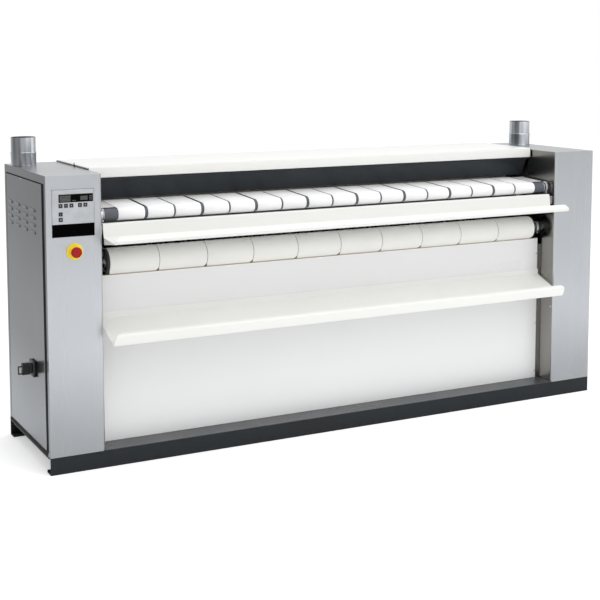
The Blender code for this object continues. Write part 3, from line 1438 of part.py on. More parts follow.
def emergency_stop():
    """A yellow disc, a black collar, a stem that pushes in and a red head that turns on it."""
    place = (STOP_X, 0, STOP_UP)
    disc_front = -GAP - STOP_DISC_THICK
    collar_front = disc_front - STOP_COLLAR_LENGTH
    bore = STOP_STEM_RADIUS + RUNNING
    turned(
        "stop_disc",
        [
            (STOP_DISC_RADIUS, -GAP),
            (STOP_DISC_RADIUS, disc_front),
            (STOP_COLLAR_RADIUS, disc_front),
            (STOP_COLLAR_RADIUS, collar_front),
            (bore, collar_front),
            (bore, -GAP),
        ],
        place,
        "Y",
        sides=STOP_SIDES,
        finish=YELLOW,
        hollow=True,
    )
    stem_front = collar_front - STOP_TRAVEL - GAP
    spigot_front = stem_front - STOP_SPIGOT_LENGTH
    turned(
        "stop_stem",
        [
            (0, STOP_STEM_BACK),
            (STOP_STEM_RADIUS, STOP_STEM_BACK),
            (STOP_STEM_RADIUS, stem_front),
            (STOP_SPIGOT_RADIUS, stem_front),
            (STOP_SPIGOT_RADIUS, spigot_front),
            (0, spigot_front),
        ],
        place,
        "Y",
        sides=24,
        finish=BLACK,
    )
    head_back = stem_front - GAP
    head_front = head_back - STOP_HEAD_LENGTH
    socket = STOP_SPIGOT_RADIUS + RUNNING
    socket_end = spigot_front - GAP
    turned(
        "stop_head",
        [
            (0, socket_end),
            (socket, socket_end),
            (socket, head_back),
            (STOP_HEAD_RADIUS - STOP_HEAD_ROUND, head_back),
            (STOP_HEAD_RADIUS, head_back - STOP_HEAD_ROUND),
            (STOP_HEAD_RADIUS, head_front + STOP_HEAD_ROUND),
            (STOP_HEAD_RADIUS - STOP_HEAD_ROUND / 3, head_front + STOP_HEAD_ROUND / 3),
            (STOP_HEAD_RADIUS - STOP_HEAD_ROUND, head_front),
            (0, head_front),
        ],
        place,
        "Y",
        sides=STOP_SIDES,
        finish=RED,
    )


def isolator():
    """The main switch: a square plate with a knob on the side panel and a grip with a padlock loop."""
    half = SWITCH_PLATE / 2
    face = OUTER + GAP
    plate_face = face + SWITCH_PLATE_THICK
    plate = box(
        "isolator_plate",
        (-plate_face, SWITCH_DEPTH - half, SWITCH_UP - half),
        (-face, SWITCH_DEPTH + half, SWITCH_UP + half),
        BLACK,
    )
    bevel(plate, SWITCH_BEVEL)
    knob_end = plate_face + SWITCH_SPINDLE_LENGTH + SWITCH_KNOB_LENGTH
    knob = turned(
        "isolator_handle",
        [
            (0, -plate_face - GAP),
            (SWITCH_SPINDLE_RADIUS, -plate_face - GAP),
            (SWITCH_SPINDLE_RADIUS, -plate_face - SWITCH_SPINDLE_LENGTH),
            (SWITCH_KNOB_RADIUS, -plate_face - SWITCH_SPINDLE_LENGTH),
            (SWITCH_KNOB_RADIUS, -knob_end),
            (0, -knob_end),
        ],
        (0, SWITCH_DEPTH, SWITCH_UP),
        sides=24,
        finish=BLACK,
    )
    grip_end = knob_end + SWITCH_GRIP_OUT
    half_thick, half_long = SWITCH_GRIP_THICK / 2, SWITCH_GRIP_LENGTH / 2
    grip = box(
        "grip",
        (-grip_end, SWITCH_DEPTH - half_thick, SWITCH_UP - half_long),
        (-knob_end + SWITCH_KNOB_LENGTH / 2, SWITCH_DEPTH + half_thick, SWITCH_UP + half_long),
    )
    loop_end = grip_end + SWITCH_LOOP_OUT
    half_loop = SWITCH_LOOP_WIDTH / 2
    loop_up = SWITCH_UP - SWITCH_LOOP_DROP
    loop = box(
        "padlock_loop",
        (-loop_end, SWITCH_DEPTH - SWITCH_LOOP_WALL, loop_up - half_loop),
        (-grip_end + SWITCH_BEVEL, SWITCH_DEPTH + SWITCH_LOOP_WALL, loop_up + half_loop),
    )
    half_eye = half_loop - SWITCH_LOOP_WALL
    eye = box(
        "padlock_eye",
        (-loop_end + SWITCH_LOOP_WALL, SWITCH_DEPTH - OVERRUN, loop_up - half_eye),
        (-grip_end, SWITCH_DEPTH + OVERRUN, loop_up + half_eye),
    )
    change(knob, grip, "UNION")
    change(knob, loop, "UNION")
    change(knob, eye)


def build():
    clear_scene()
    base()
    for side in (-1, 1):
        column(side)
        side_panel(side)
        exhaust(side)
        duct(side)
    padded_roll()
    drive()
    chest()
    feed_conveyor()
    return_conveyor()
    feed_table()
    front_panel()
    receiving_tray()
    covers()
    finger_guard()
    control_panel()
    emergency_stop()
    isolator()


build()
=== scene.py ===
"""The finished look of a chest ironer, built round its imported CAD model.

Metres, +Z up, +X along the roll, +Y to the back. Places across the machine are depths behind the
columns' front plane, as in the CAD source."""

import json
import math

import bmesh
import bpy
from mathutils import Matrix, Vector

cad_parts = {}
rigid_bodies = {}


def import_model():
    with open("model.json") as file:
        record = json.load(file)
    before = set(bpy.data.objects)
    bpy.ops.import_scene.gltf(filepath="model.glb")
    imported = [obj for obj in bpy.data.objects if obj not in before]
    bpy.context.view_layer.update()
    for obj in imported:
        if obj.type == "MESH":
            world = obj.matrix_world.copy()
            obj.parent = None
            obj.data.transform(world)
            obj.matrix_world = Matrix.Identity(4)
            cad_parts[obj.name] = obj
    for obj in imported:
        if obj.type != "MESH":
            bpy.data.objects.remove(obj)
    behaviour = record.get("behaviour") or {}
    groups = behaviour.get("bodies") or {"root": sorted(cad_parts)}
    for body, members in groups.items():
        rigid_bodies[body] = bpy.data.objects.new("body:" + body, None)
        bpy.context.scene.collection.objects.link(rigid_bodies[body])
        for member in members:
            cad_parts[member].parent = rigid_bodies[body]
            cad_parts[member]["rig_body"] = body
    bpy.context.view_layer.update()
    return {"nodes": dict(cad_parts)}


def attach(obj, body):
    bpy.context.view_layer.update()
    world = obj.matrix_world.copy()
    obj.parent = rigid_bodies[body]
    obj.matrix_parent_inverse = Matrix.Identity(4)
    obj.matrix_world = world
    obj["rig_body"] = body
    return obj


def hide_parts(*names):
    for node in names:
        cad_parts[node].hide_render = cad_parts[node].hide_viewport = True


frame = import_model()
nodes = frame["nodes"]

SIDES = ((-1, "left"), (1, "right"))

# Places and sizes that the CAD model also uses
FRONT = -0.024
INNER = 1.065
OUTER = 1.28
DEPTH = 0.58
HEIGHT = 1.123
COLUMN_FOOT = 0.0663

ROLL = (0.395, 0.94)
ROLL_RADIUS = 0.110
ROLL_HALF = 1.015
TUBE_RADIUS = 0.0977

FEED_FRONT = (0.0655, 0.9605)
FEED_REAR = (0.235, 0.9695)
FEED_RADIUS = 0.0225
FEED_HALF = 1.040
FEED_BELTS = 17
FEED_PITCH = 0.1165
FEED_BELT_WIDTH = 0.1062
FEED_BELT_STAGGER = 0.0014
FEED_BELT_RADII = (0.0231, 0.0246)

RETURN_FRONT = (0.125, 0.7695)
RETURN_REAR = (0.420, 0.705)
RETURN_RADIUS = 0.0495
RETURN_HALF = 1.022
RETURN_BELTS = 10
RETURN_PITCH = 0.2025
RETURN_BELT_WIDTH = 0.2005
RETURN_BELT_RADII = (0.0502, 0.0522)
JOURNAL = 0.0125
JOURNAL_END = 1.0805
PLATE_FACE = 1.0507

BELT_PLANE = 1.102
ROLL_PULLEY_LEFT = 0.080
ROLL_PULLEY_RIGHT = 0.045
MOTOR_PULLEY = 0.035
MOTOR_AXIS = (ROLL[0], 0.150)
FEED_MOTOR_START = 1.0808
FAN_AXIS = (0.400, 0.890)
FAN_MOTOR_END = 1.1997

DUCT_X = 1.228
DUCT_DEPTH = 0.480
DUCT_LOWER = 0.0500
DUCT_UPPER = 0.0487

SHEET = 0.0015
TABLE_LEFT = 1.0590
TABLE_RIGHT = 1.0446
TABLE_REAR = (0.0340, 0.9325)
TABLE_PATH = [
    TABLE_REAR, (0.0140, 0.9325), (0.0055, 0.8810), (-0.1215, 0.8720), (-0.1240, 0.8830), (-0.1090, 0.8990),
]
TRAY_END = 1.0543
TRAY_PATH = [(0.0977, 0.5775), (0.0977, 0.5555), (-0.0800, 0.4840), (-0.0950, 0.5245), (-0.0850, 0.5320)]
PANEL_DEPTH = 0.0995
PANEL_TOP = 0.7225
COVER_HALF = 1.0625
COVER_FRONT = 0.174
COVER_TOP = 1.131

# Places and sizes of the finer shapes
SIDE_LOW = (0.0555, COLUMN_FOOT + 0.016)
SIDE_HIGH = (0.5550, HEIGHT - 0.0355)
SEAL_FRONT = 0.0325
SEAL_REACH = 0.0035
LOUVRE_MIDDLE = 0.337
LOUVRE_PITCH = 0.108
LOUVRE_TOP = 0.981
LOUVRE_STEP = 0.028
COVER_ROUND = 0.0044
STOP_PLACE = (-1.1735, 0, 0.838)
KEY_FACE = -0.0012
DISPLAY_FACE = -0.00031


def at(depth):
    """Y of a depth behind the columns' front plane."""
    return FRONT + depth


# Materials


def linear(*colour):
    """A colour given as it looks on screen, from 0 to 255, as the shader needs it."""
    return tuple(((c / 255 + 0.055) / 1.055) ** 2.4 if c > 10 else c / 255 / 12.92 for c in colour)


class Nodes:
    """A node tree whose nodes are added and linked by short calls."""

    def __init__(self, tree):
        self.tree = tree

    def add(self, kind, **values):
        made = self.tree.nodes.new(kind)
        for name, value in values.items():
            setattr(made, name, value)
        return made

    def link(self, output, target):
        self.tree.links.new(output, target)

    def combined(self, operation, first, second):
        """Two outputs put through one operation of arithmetic."""
        node = self.add("ShaderNodeMath", operation=operation)
        self.link(first, node.inputs[0])
        self.link(second, node.inputs[1])
        return node.outputs["Value"]

    def span(self, value, low, high, start=0.3, stop=0.7, easing="SMOOTHSTEP"):
        """The value mapped from start..stop, where a noise mostly lies, to low..high."""
        ramp = self.add("ShaderNodeMapRange", interpolation_type=easing)
        for name, amount in (("From Min", start), ("From Max", stop), ("To Min", low), ("To Max", high)):
            ramp.inputs[name].default_value = amount
        self.link(value, ramp.inputs["Value"])
        return ramp.outputs["Result"]


class Finish(Nodes):
    """A procedural material: a Principled shader with texture nodes added by name."""

    def __init__(self, name, colour, roughness, metallic=0.0, coat=0.0, sheen=0.0, specular=0.5):
        self.material = bpy.data.materials.new(name)
        self.material["slot"] = name.split(".")[0]
        self.material.use_nodes = True
        super().__init__(self.material.node_tree)
        self.shader = self.tree.nodes["Principled BSDF"]
        self.colour = linear(*colour)
        for socket, value in (
            ("Base Color", (*self.colour, 1)), ("Roughness", roughness), ("Metallic", metallic),
            ("Coat Weight", coat), ("Sheen Weight", sheen), ("Specular IOR Level", specular),
        ):
            self.shader.inputs[socket].default_value = value
        self.roughness = roughness
        self.place = self.add("ShaderNodeTexCoord").outputs["Object"]
        self.height = None

    def along(self, axis):
        """The object's coordinate along one axis, in metres."""
        split = self.add("ShaderNodeSeparateXYZ")
        self.link(self.place, split.inputs["Vector"])
        return split.outputs[axis]

    def texture(self, kind, scale, **values):
        """A texture over the object's coordinates; scale is one number or one for each axis."""
        mapping = self.add("ShaderNodeMapping")
        mapping.inputs["Scale"].default_value = scale if isinstance(scale, tuple) else (scale,) * 3
        self.link(self.place, mapping.inputs["Vector"])
        made = self.add(kind, **values)
        made.inputs["Scale"].default_value = 1.0
        self.link(mapping.outputs["Vector"], made.inputs["Vector"])
        return made

    def noise(self, scale, detail=2.0, roughness=0.5):
        made = self.texture("ShaderNodeTexNoise", scale)
        made.inputs["Detail"].default_value = detail
        made.inputs["Roughness"].default_value = roughness
        return made.outputs["Fac"]

    def vary_colour(self, *spans):
        """The base colour times the result of each span in turn."""
        factor, *others = [self.span(*span) for span in spans]
        for other in others:
            factor = self.combined("MULTIPLY", factor, other)
        scale = self.add("ShaderNodeVectorMath", operation="SCALE")
        scale.inputs[0].default_value = self.colour
        self.link(factor, scale.inputs["Scale"])
        self.link(scale.outputs["Vector"], self.shader.inputs["Base Color"])

    def mix_colour(self, share, other):
        """Another colour laid over the varied base colour where the share is high."""
        mix = self.add("ShaderNodeMix", data_type="RGBA")
        base = self.shader.inputs["Base Color"]
        self.link(base.links[0].from_socket, mix.inputs[6])
        mix.inputs[7].default_value = (*linear(*other), 1)
        self.link(share, mix.inputs[0])
        self.link(mix.outputs[2], base)

    def vary_roughness(self, value, low, high, start=0.3, stop=0.7):
        """The roughness with an amount added that runs from low to high."""
        varied = self.span(value, self.roughness + low, self.roughness + high, start, stop)
        self.link(varied, self.shader.inputs["Roughness"])

    def bump(self, value, distance, strength=1.0):
        """A bump over any earlier one; distance is its height in metres."""
        node = self.add("ShaderNodeBump")
        node.inputs["Distance"].default_value = distance
        node.inputs["Strength"].default_value = strength
        self.link(value, node.inputs["Height"])
        if self.height:
            self.link(self.height, node.inputs["Normal"])
        self.height = node.outputs["Normal"]
        self.link(self.height, self.shader.inputs["Normal"])


def stainless(
    name, colour, roughness=0.3, foot=1.0, head=1.0, metallic=0.85, grain=(1400, 1400, 4), rim=1.0
):
    """Brushed stainless steel: fine scratches, soft upright bands, broad clouds, painted shade at foot and
    head.

    foot and head are painted light and shade: the shade at the bottom and the top of a column, against that
    at half height.
    The scratches run along the axis whose grain value is low. rim is how bright a slanting view is."""
    made = Finish(name, colour, roughness, metallic)
    made.shader.inputs["Specular Tint"].default_value = (rim, rim, rim, 1)
    scratches = made.noise(grain, 2.0, 0.6)
    bands = made.noise((24, 24, 0.45), 1.0, 0.4)
    clouds = made.noise((2.6, 2.6, 1.9))
    made.vary_colour(
        (scratches, 0.985, 1.012),
        (bands, 0.993, 1.007, 0.25, 0.75),
        (clouds, 0.94, 1.05, 0.2, 0.8),
        # painted light and shade: the shade runs from foot at the floor and from head at the top to even at
        # half height
        (made.along("Z"), foot, 1.0, COLUMN_FOOT, 0.5),
        (made.along("Z"), 1.0, head, 0.6, HEIGHT),
    )
    made.vary_roughness(bands, -0.008, 0.012, 0.25, 0.75)
    made.bump(scratches, 0.000006, 0.25)
    return made.material


def enamel(name, colour, roughness=0.34, foot=1.0):
    """Smooth baked enamel with a faint ripple and a little dust in its gloss.

    foot is painted light: the shade of a front panel at its lower edge, against that above."""
    made = Finish(name, colour, roughness, coat=0.15)
    clouds = made.noise((1.7, 1.7, 2.6))
    made.vary_colour((clouds, 0.985, 1.01, 0.1, 0.9), (made.along("Z"), foot, 1.0, COLUMN_FOOT, 0.42))
    made.vary_roughness(clouds, -0.04, 0.05, 0.1, 0.9)
    made.bump(made.noise(420), 0.00003, 0.35)
    return made.material


def dark_paint(name, colour, roughness=0.42, specular=0.5):
    """Dark sprayed paint with a fine orange peel."""
    made = Finish(name, colour, roughness, specular=specular)
    clouds = made.noise(4, 3.0)
    made.vary_colour((clouds, 0.86, 1.14))
    made.vary_roughness(clouds, -0.06, 0.08)
    made.bump(made.noise(900), 0.00006, 0.5)
    return made.material


def galvanised(name, colour, contrast, spangle=1.0):
    """Zinc-coated sheet: crystals of slightly different greys and long rolling streaks; a high contrast also
    makes them painted reflections.
    """
    made = Finish(name, colour, 0.28, 0.9)
    crystals = made.texture("ShaderNodeTexVoronoi", 90)
    spread = made.add("ShaderNodeSeparateColor")
    made.link(crystals.outputs["Color"], spread.inputs["Color"])
    streaks = made.noise((46, 46, 2.5))
    clouds = made.noise((14, 14, 3), 1.0)
    made.vary_colour(
        (spread.outputs["Red"], 1 - 0.05 * spangle, 1 + 0.04 * spangle, 0.0, 1.0),
        (streaks, 1 - 0.35 * contrast, 1 + 0.2 * contrast, 0.25, 0.75),
        (clouds, 1 - 0.4 * contrast, 1 + 0.2 * contrast, 0.25, 0.75),
    )
    made.vary_roughness(spread.outputs["Green"], -0.04 * spangle, 0.04 * spangle, 0.0, 1.0)
    made.bump(streaks, 0.00006, 0.4)
    return made.material


def machined(name, colour, roughness=0.28):
    """Turned steel with rings of tool marks round its axis."""
    made = Finish(name, colour, roughness, 0.95)
    rings = made.noise((900, 30, 30))
    clouds = made.noise(20, 3.0)
    made.vary_colour((rings, 0.92, 1.06), (clouds, 0.92, 1.05))
    made.vary_roughness(clouds, -0.06, 0.12)
    made.bump(rings, 0.00002, 0.5)
    return made.material


def cast(name, colour):
    """Painted casting with a sandy skin."""
    made = Finish(name, colour, 0.5, 0.35)
    clouds = made.noise(18, 3.0)
    made.vary_colour((clouds, 0.8, 1.2))
    made.vary_roughness(clouds, -0.08, 0.12)
    made.bump(made.noise(700, 3.0, 0.7), 0.00025, 0.6)
    return made.material


def cloth(name, colour, thread=0.0009, yellowing=None):
    """Woven belting: crossing threads along and across the belt, a little uneven in shade."""
    made = Finish(name, colour, 0.86, sheen=0.25)
    scale = math.pi / thread
    waves = [made.texture("ShaderNodeTexWave", scale, bands_direction=way) for way in ("X", "DIAGONAL")]
    threads = [made.span(wave.outputs["Fac"], 0.55, 1.0, 0.0, 1.0) for wave in waves]
    weave = made.combined("MULTIPLY", *threads)
    clouds = made.noise((5.0, 9.0, 9.0), 3.0)
    made.vary_colour((weave, 0.965, 1.02, 0.3, 1.0), (clouds, 0.965, 1.015))
    if yellowing:
        made.mix_colour(made.span(clouds, 0.0, 0.35, 0.5, 0.85), yellowing)
    made.bump(weave, 0.00008, 0.35)
    made.bump(made.noise(1500), 0.00004, 0.4)
    return made.material


def felt(name, colour):
    """Pressed fibres with a soft nap."""
    made = Finish(name, colour, 0.95, sheen=0.4)
    fibres = made.noise((800, 260, 260), 4.0, 0.7)
    clouds = made.noise(7, 3.0)
    made.vary_colour((fibres, 0.88, 1.08), (clouds, 0.9, 1.05))
    made.bump(fibres, 0.0006, 0.6)
    return made.material


def rubber(name, colour, roughness=0.6):
    """Dull rubber with dust on it."""
    made = Finish(name, colour, roughness)
    dust = made.noise(16, 4.0)
    made.vary_colour((dust, 0.85, 1.22))
    made.vary_roughness(dust, -0.1, 0.12)
    made.bump(made.noise(650, 3.0, 0.6), 0.00012, 0.5)
    return made.material


def plastic(name, colour, roughness=0.38, grain=0.00004, specular=0.5):
    """Moulded plastic with a fine texture."""
    made = Finish(name, colour, roughness, specular=specular)
    clouds = made.noise(25)
    made.vary_colour((clouds, 0.94, 1.06))
    made.vary_roughness(clouds, -0.04, 0.06)
    made.bump(made.noise(1400), grain, 0.5)
    return made.material


# painted shade: the column fronts darken towards the floor and a little towards the top
STAINLESS = stainless("brushed_stainless", (190, 193, 197), 0.27, foot=0.7, head=0.93)
# the columns' tops: a darker copy of the steel, painted shade, with its scratches along X as the tops are
# brushed
STAINLESS_TOP_SHADED = stainless("brushed_stainless.top", (162, 165, 169), grain=(1400, 4, 4))
# the columns' outer faces and side panels: a darker copy of the steel, painted shade, lighter towards the
# floor and darker at the top as painted light and shade
STAINLESS_SIDE_SHADED = stainless(
    "brushed_stainless.side", (124, 127, 131), 0.22, foot=2.1, head=0.68, metallic=1.0, rim=0.8
)
# the columns' inner walls: a darker, brownish copy of the steel, painted shade and a painted reflection
STAINLESS_INNER_SHADED = stainless("brushed_stainless.inner", (150, 148, 145), 0.2, metallic=1.0)
WHITE = enamel("white_enamel", (239, 239, 236))
# the receiving tray: a lighter copy of the white enamel, painted light against the shade under the feed table
TRAY_WHITE_LIT = enamel("white_enamel.tray", (249, 249, 246))
# painted light: the front panel grows lighter towards its lower edge, against the shade there
PANEL_WHITE = enamel("white_enamel.panel", (242, 243, 243), 0.3, foot=1.12)
BASE_PAINT = dark_paint("base_paint", (26, 31, 35), 0.5, 0.3)
PAN_PAINT = dark_paint("base_paint.pan", (67, 69, 72), 0.3)
GUARD_PAINT = dark_paint("guard_paint", (38, 43, 48), specular=0.35)
ZINC = galvanised("galvanised", (186, 189, 193), 0.16)
# the ducts' outer skin: rolling streaks and clouds so strong that they are also painted reflections, bright
# upright highlights and dark patches
DUCT_ZINC_REFLECTIONS = galvanised("galvanised.duct", (186, 189, 194), 1.9, 0.15)
# the chest jacket: a darker copy of the galvanised sheet, painted shade under the belts and the feed table
JACKET_ZINC_SHADED = galvanised("galvanised.jacket", (84, 86, 89), 0.3, 0.15)
# the ducts' inside: a darker copy of the galvanised sheet, painted shade
DUCT_INSIDE_SHADED = galvanised("galvanised.inside", (74, 76, 79), 0.4, 0.15)
STEEL = machined("machined_steel", (206, 207, 209))
CHEST = machined("polished_chest", (200, 200, 202), 0.2)
CAST = cast("cast_iron", (62, 64, 67))
MOTOR = dark_paint("motor_paint", (86, 98, 110), 0.45)
ROLLER = rubber("roller_rubber", (82, 86, 94))
ROLLER_END = rubber("roller_rubber.end", (44, 46, 49))
BELTING = cloth("belt_cloth.feed", (253, 253, 254))
RETURN_CLOTH = cloth("belt_cloth.return", (252, 252, 248), 0.0011, (246, 243, 234))
FELT = felt("roll_padding", (226, 218, 202))
EDGE_STRIP = felt("roll_padding.strip", (172, 146, 112))
DRIVE_RUBBER = rubber("belt_rubber", (28, 28, 30), 0.7)
FASCIA = plastic("fascia", (187, 190, 194), 0.45)
MARKING = plastic("fascia.marking", (172, 177, 180), 0.5)
OUTLINE = plastic("fascia.outline", (128, 131, 136), 0.5)
# black plastic, also used as painted shade in the louvres' shade slots
BLACK = plastic("black_plastic", (24, 25, 27), 0.42)
# black for the pin and the foot strips; also painted shade in the side panels' seals and painted shadow in
# the top cover's shadow gaps
SEAL = plastic("black_plastic.seal", (14, 15, 16), 0.6, specular=0.1)
BOARD = plastic("black_plastic.board", (4, 4, 4), 0.5, 0.00001, 0.01)
GLASS = plastic("display", (5, 5, 5), 0.3, 0.000005, 0.03)
LCD = plastic("display.glass", (62, 64, 60), 0.4, 0.000005, 0.1)
DIM_MARKING = plastic("display.segments", (92, 97, 95), 0.3)
YELLOW = plastic("stop_yellow", (255, 228, 56), 0.36, specular=0.3)
RED = plastic("stop_red", (162, 18, 20), 0.36, specular=0.25)

NODE_FINISH = {
    "base_frame": BASE_PAINT,
    "base_pan": PAN_PAINT,
    "top_cover": WHITE,
    "front_panel": PANEL_WHITE,
    "feed_table": WHITE,
    "receiving_tray": TRAY_WHITE_LIT,
    "back_panel": ZINC,
    "linen_deflector": ZINC,
    "chest_jacket": JACKET_ZINC_SHADED,
    "finger_guard": GUARD_PAINT,
    "heated_chest": CHEST,
    "chest_heater": STEEL,
    "gearmotor": MOTOR,
    "control_fascia": FASCIA,
    "control_board": BOARD,
    "display_window": GLASS,
    "isolator_plate": BLACK,
    "isolator_handle": BLACK,
    **{f"key_{index}": BLACK for index in range(1, 8)},
    **{f"column_{label}": STAINLESS for _, label in SIDES},
    **{f"fan_{part}_{label}": ZINC for part in ("housing", "impeller") for _, label in SIDES},
    **{f"{part}_plate_{label}": CAST for part in ("feed", "return") for _, label in SIDES},
}


def finishes():
    """Gives each CAD node its finish."""
    for node, finish in NODE_FINISH.items():
        materials = nodes[node].data.materials
        materials.clear()
        materials.append(finish)


# Shapes


def placed(name, data):
    """A new object in the scene."""
    made = bpy.data.objects.new(name, data)
    bpy.context.scene.collection.objects.link(made)
    return made


def object_from(bm, name, finish):
    """A new object in the scene with the bmesh's form, which ends the bmesh."""
    mesh = bpy.data.meshes.new(name)
    bm.to_mesh(mesh)
    bm.free()
    mesh.materials.append(finish)
    return placed(name, mesh)


def piece_from(bm, name, finish, body, node=None, angle=35):
    """A finished piece from a bmesh, riding on a body and standing for a node where one is named."""
    bmesh.ops.recalc_face_normals(bm, faces=bm.faces[:])
    made = object_from(bm, name, finish)
    made.data.shade_smooth()
    made.data.set_sharp_from_angle(angle=math.radians(angle))
    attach(made, body)
    if node:
        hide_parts(node)
    return made


def ease_edges(made, width, segments=2, angle=40, harden=False):
    """Rounds the edges of a piece that turn by more than the angle, in degrees."""
    edge = made.modifiers.new("Edge", "BEVEL")
    edge.width = width
    edge.segments = segments
    edge.limit_method = "ANGLE"
    edge.angle_limit = math.radians(angle)
    edge.harden_normals = harden


def softened(node, width, segments):
    """A copy of a CAD node with its flat faces made whole and its edges rounded as folded sheet is."""
    bm = bmesh.new()
    bm.from_mesh(nodes[node].data)
    bmesh.ops.remove_doubles(bm, verts=bm.verts[:], dist=0.00002)
    bmesh.ops.dissolve_limit(
        bm, angle_limit=math.radians(0.6), verts=bm.verts[:], edges=bm.edges[:], delimit={"NORMAL"}
    )
    made = piece_from(bm, f"{node}_finished", NODE_FINISH[node], nodes[node]["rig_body"], node)
    ease_edges(made, width, segments, 30, harden=True)
    return made


AXES = {
    "X": Matrix(((0, 0, 1, 0), (1, 0, 0, 0), (0, 1, 0, 0), (0, 0, 0, 1))),
    "Y": Matrix(((1, 0, 0, 0), (0, 0, 1, 0), (0, -1, 0, 0), (0, 0, 0, 1))),
    "Z": Matrix.Identity(4),
}


def ring_mesh(bm, profile, place, axis="X", steps=64):
    """Adds a turned shape: (radius, height) points, heights along the axis from the place (x, depth, z)."""
    turn = Matrix.Translation((place[0], at(place[1]), place[2])) @ AXES[axis]
    rings = []
    for radius, height in profile:
        angles = [2 * math.pi * i / steps for i in range(steps if radius else 1)]
        points = [Vector((radius * math.cos(a), radius * math.sin(a), height)) for a in angles]
        rings.append([bm.verts.new(turn @ point) for point in points])
    for low, high in zip(rings, rings[1:]):
        for i in range(steps):
            j = (i + 1) % steps
            corners = [low[i % len(low)], low[j % len(low)], high[j % len(high)], high[i % len(high)]]
            face = list(dict.fromkeys(corners))
            if len(face) > 2:
                bm.faces.new(face)


def lathe(name, profile, place, finish, body, node=None, axis="X", steps=64, closed=False, angle=35):
    """A turned piece; closed joins the profile's end to its start."""
    bm = bmesh.new()
    ring_mesh(bm, profile + profile[:1] if closed else profile, place, axis, steps)
    bmesh.ops.remove_doubles(bm, verts=bm.verts[:], dist=0.000001)
    return piece_from(bm, name, finish, body, node, angle)


def toward(side, profile, start):
    """A profile whose heights run outwards on one side, from a start."""
    return [(radius, side * (start + height)) for radius, height in profile]


def both_ways(profile):
    """A profile of one half, from its end inwards, and then its mirror image."""
    return profile + [(radius, -height) for radius, height in reversed(profile)]


def rectangle(first, opposite):
    return [first, (opposite[0], first[1]), opposite, (first[0], opposite[1])]


def arc(centre, radius, start, stop, steps):
    angles = [start + (stop - start) * i / steps for i in range(steps + 1)]
    return [(centre[0] + radius * math.cos(a), centre[1] + radius * math.sin(a)) for a in angles]


def four_round(centre, radius):
    """Four places on the diagonals of a circle."""
    return arc(centre, radius, math.pi / 4, math.pi * 9 / 4, 4)[:-1]


def corner_arc(before, here, after, radius, steps):
    """The points of a corner rounded between its two neighbours."""
    before, here, after = Vector(before), Vector(here), Vector(after)
    back, ahead = (before - here).normalized(), (after - here).normalized()
    half = back.angle(ahead) / 2
    reach = radius / math.tan(half)
    centre = here + (back + ahead).normalized() * (radius / math.sin(half))
    start, stop = here + back * reach, here + ahead * reach
    points = [start.lerp(stop, step / steps) for step in range(steps + 1)]
    return [tuple(centre + (point - centre).normalized() * radius) for point in points]


def rounded(corners, radius, steps=5):
    """A closed outline with each corner rounded."""
    made = []
    for index, here in enumerate(corners):
        made += corner_arc(corners[index - 1], here, corners[(index + 1) % len(corners)], radius, steps)
    return made


def bent(corners, radius, steps=6):
    """An open path with each bend rounded."""
    made = [corners[0]]
    for before, here, after in zip(corners, corners[1:], corners[2:]):
        made += corner_arc(before, here, after, radius, steps)
    return made + [corners[-1]]


def divided(path, longest):
    """The path with its long stretches cut up."""
    made = [Vector(path[0])]
    for point in path[1:]:
        start, stop = made[-1].copy(), Vector(point)
        count = max(1, math.ceil((stop - start).length / longest))
        made += [start.lerp(stop, step / count) for step in range(1, count + 1)]
    return made


def trim(run, cuts):
    """How far a sheet's end is cut back at a run from the hem, between the places that say so."""
    for (near, cut), (far, next_cut) in zip(cuts, cuts[1:]):
        if run <= far:
            return cut + (next_cut - cut) * (run - near) / (far - near)
    return cuts[-1][1]


def join(bm, first, second):
    """Faces between two rings with the same number of points."""
    for i in range(len(first)):
        j = (i + 1) % len(first)
        bm.faces.new((first[i], first[j], second[j], second[i]))


def folded(node, corners, radius, left, right, left_cuts, right_cuts):
    """A folded sheet along X whose shown face follows the path.

    The cuts are pairs of a distance from the free hem and how far that end is cut back there."""
    path = divided(bent(corners, radius), 0.004)
    runs = [0.0]
    for first, second in zip(path[::-1], path[-2::-1]):
        runs.append(runs[-1] + (second - first).length)
    bm = bmesh.new()
    rows = []
    for index, (point, run) in enumerate(zip(path, reversed(runs))):
        heading = (path[min(index + 1, len(path) - 1)] - path[max(index - 1, 0)]).normalized()
        behind = point + Vector((-heading.y, heading.x)) * SHEET
        low, high = -left + trim(run, left_cuts), right - trim(run, right_cuts)
        rows.append([
            bm.verts.new((x, at(place.x), place.y))
            for x, place in ((low, point), (high, point), (high, behind), (low, behind))
        ])
    for first, second in zip(rows, rows[1:]):
        join(bm, first, second)
    bm.faces.new(rows[0])
    bm.faces.new(rows[-1])
    return piece_from(bm, f"{node}_folded", NODE_FINISH[node], "machine", node, 40)


def slab(name, outline, start, stop, finish, node=None, axis="X", bevel=0.0, body="machine"):
    """A flat outline drawn out along an axis. Points are (depth, z) for X, (x, z) for Y, (x, depth) for Z."""
    bm = bmesh.new()

    def vert(point, along):
        if axis == "X":
            return bm.verts.new((along, at(point[0]), point[1]))
        if axis == "Y":
            return bm.verts.new((point[0], at(along), point[1]))
        return bm.verts.new((point[0], at(point[1]), along))

    low, high = ([vert(point, along) for point in outline] for along in sorted((start, stop)))
    join(bm, low, high)
    bm.faces.new(low)
    bm.faces.new(high)
    made = piece_from(bm, name, finish, body, node)
    if bevel:
        ease_edges(made, bevel)
    return made


# Screw heads, in radii of the screw: points of (radius, height)
PAN_HEAD = [(0, 0.55), (0.35, 0.52), (0.7, 0.40), (0.95, 0.16), (1.0, 0.0), (0.6, -0.2), (0, -0.2)]
HEXAGON_HEAD = [(0, 0.75), (0.80, 0.75), (1.0, 0.62), (1.0, 0.12), (1.35, 0.10), (1.35, -0.05), (0, -0.05)]


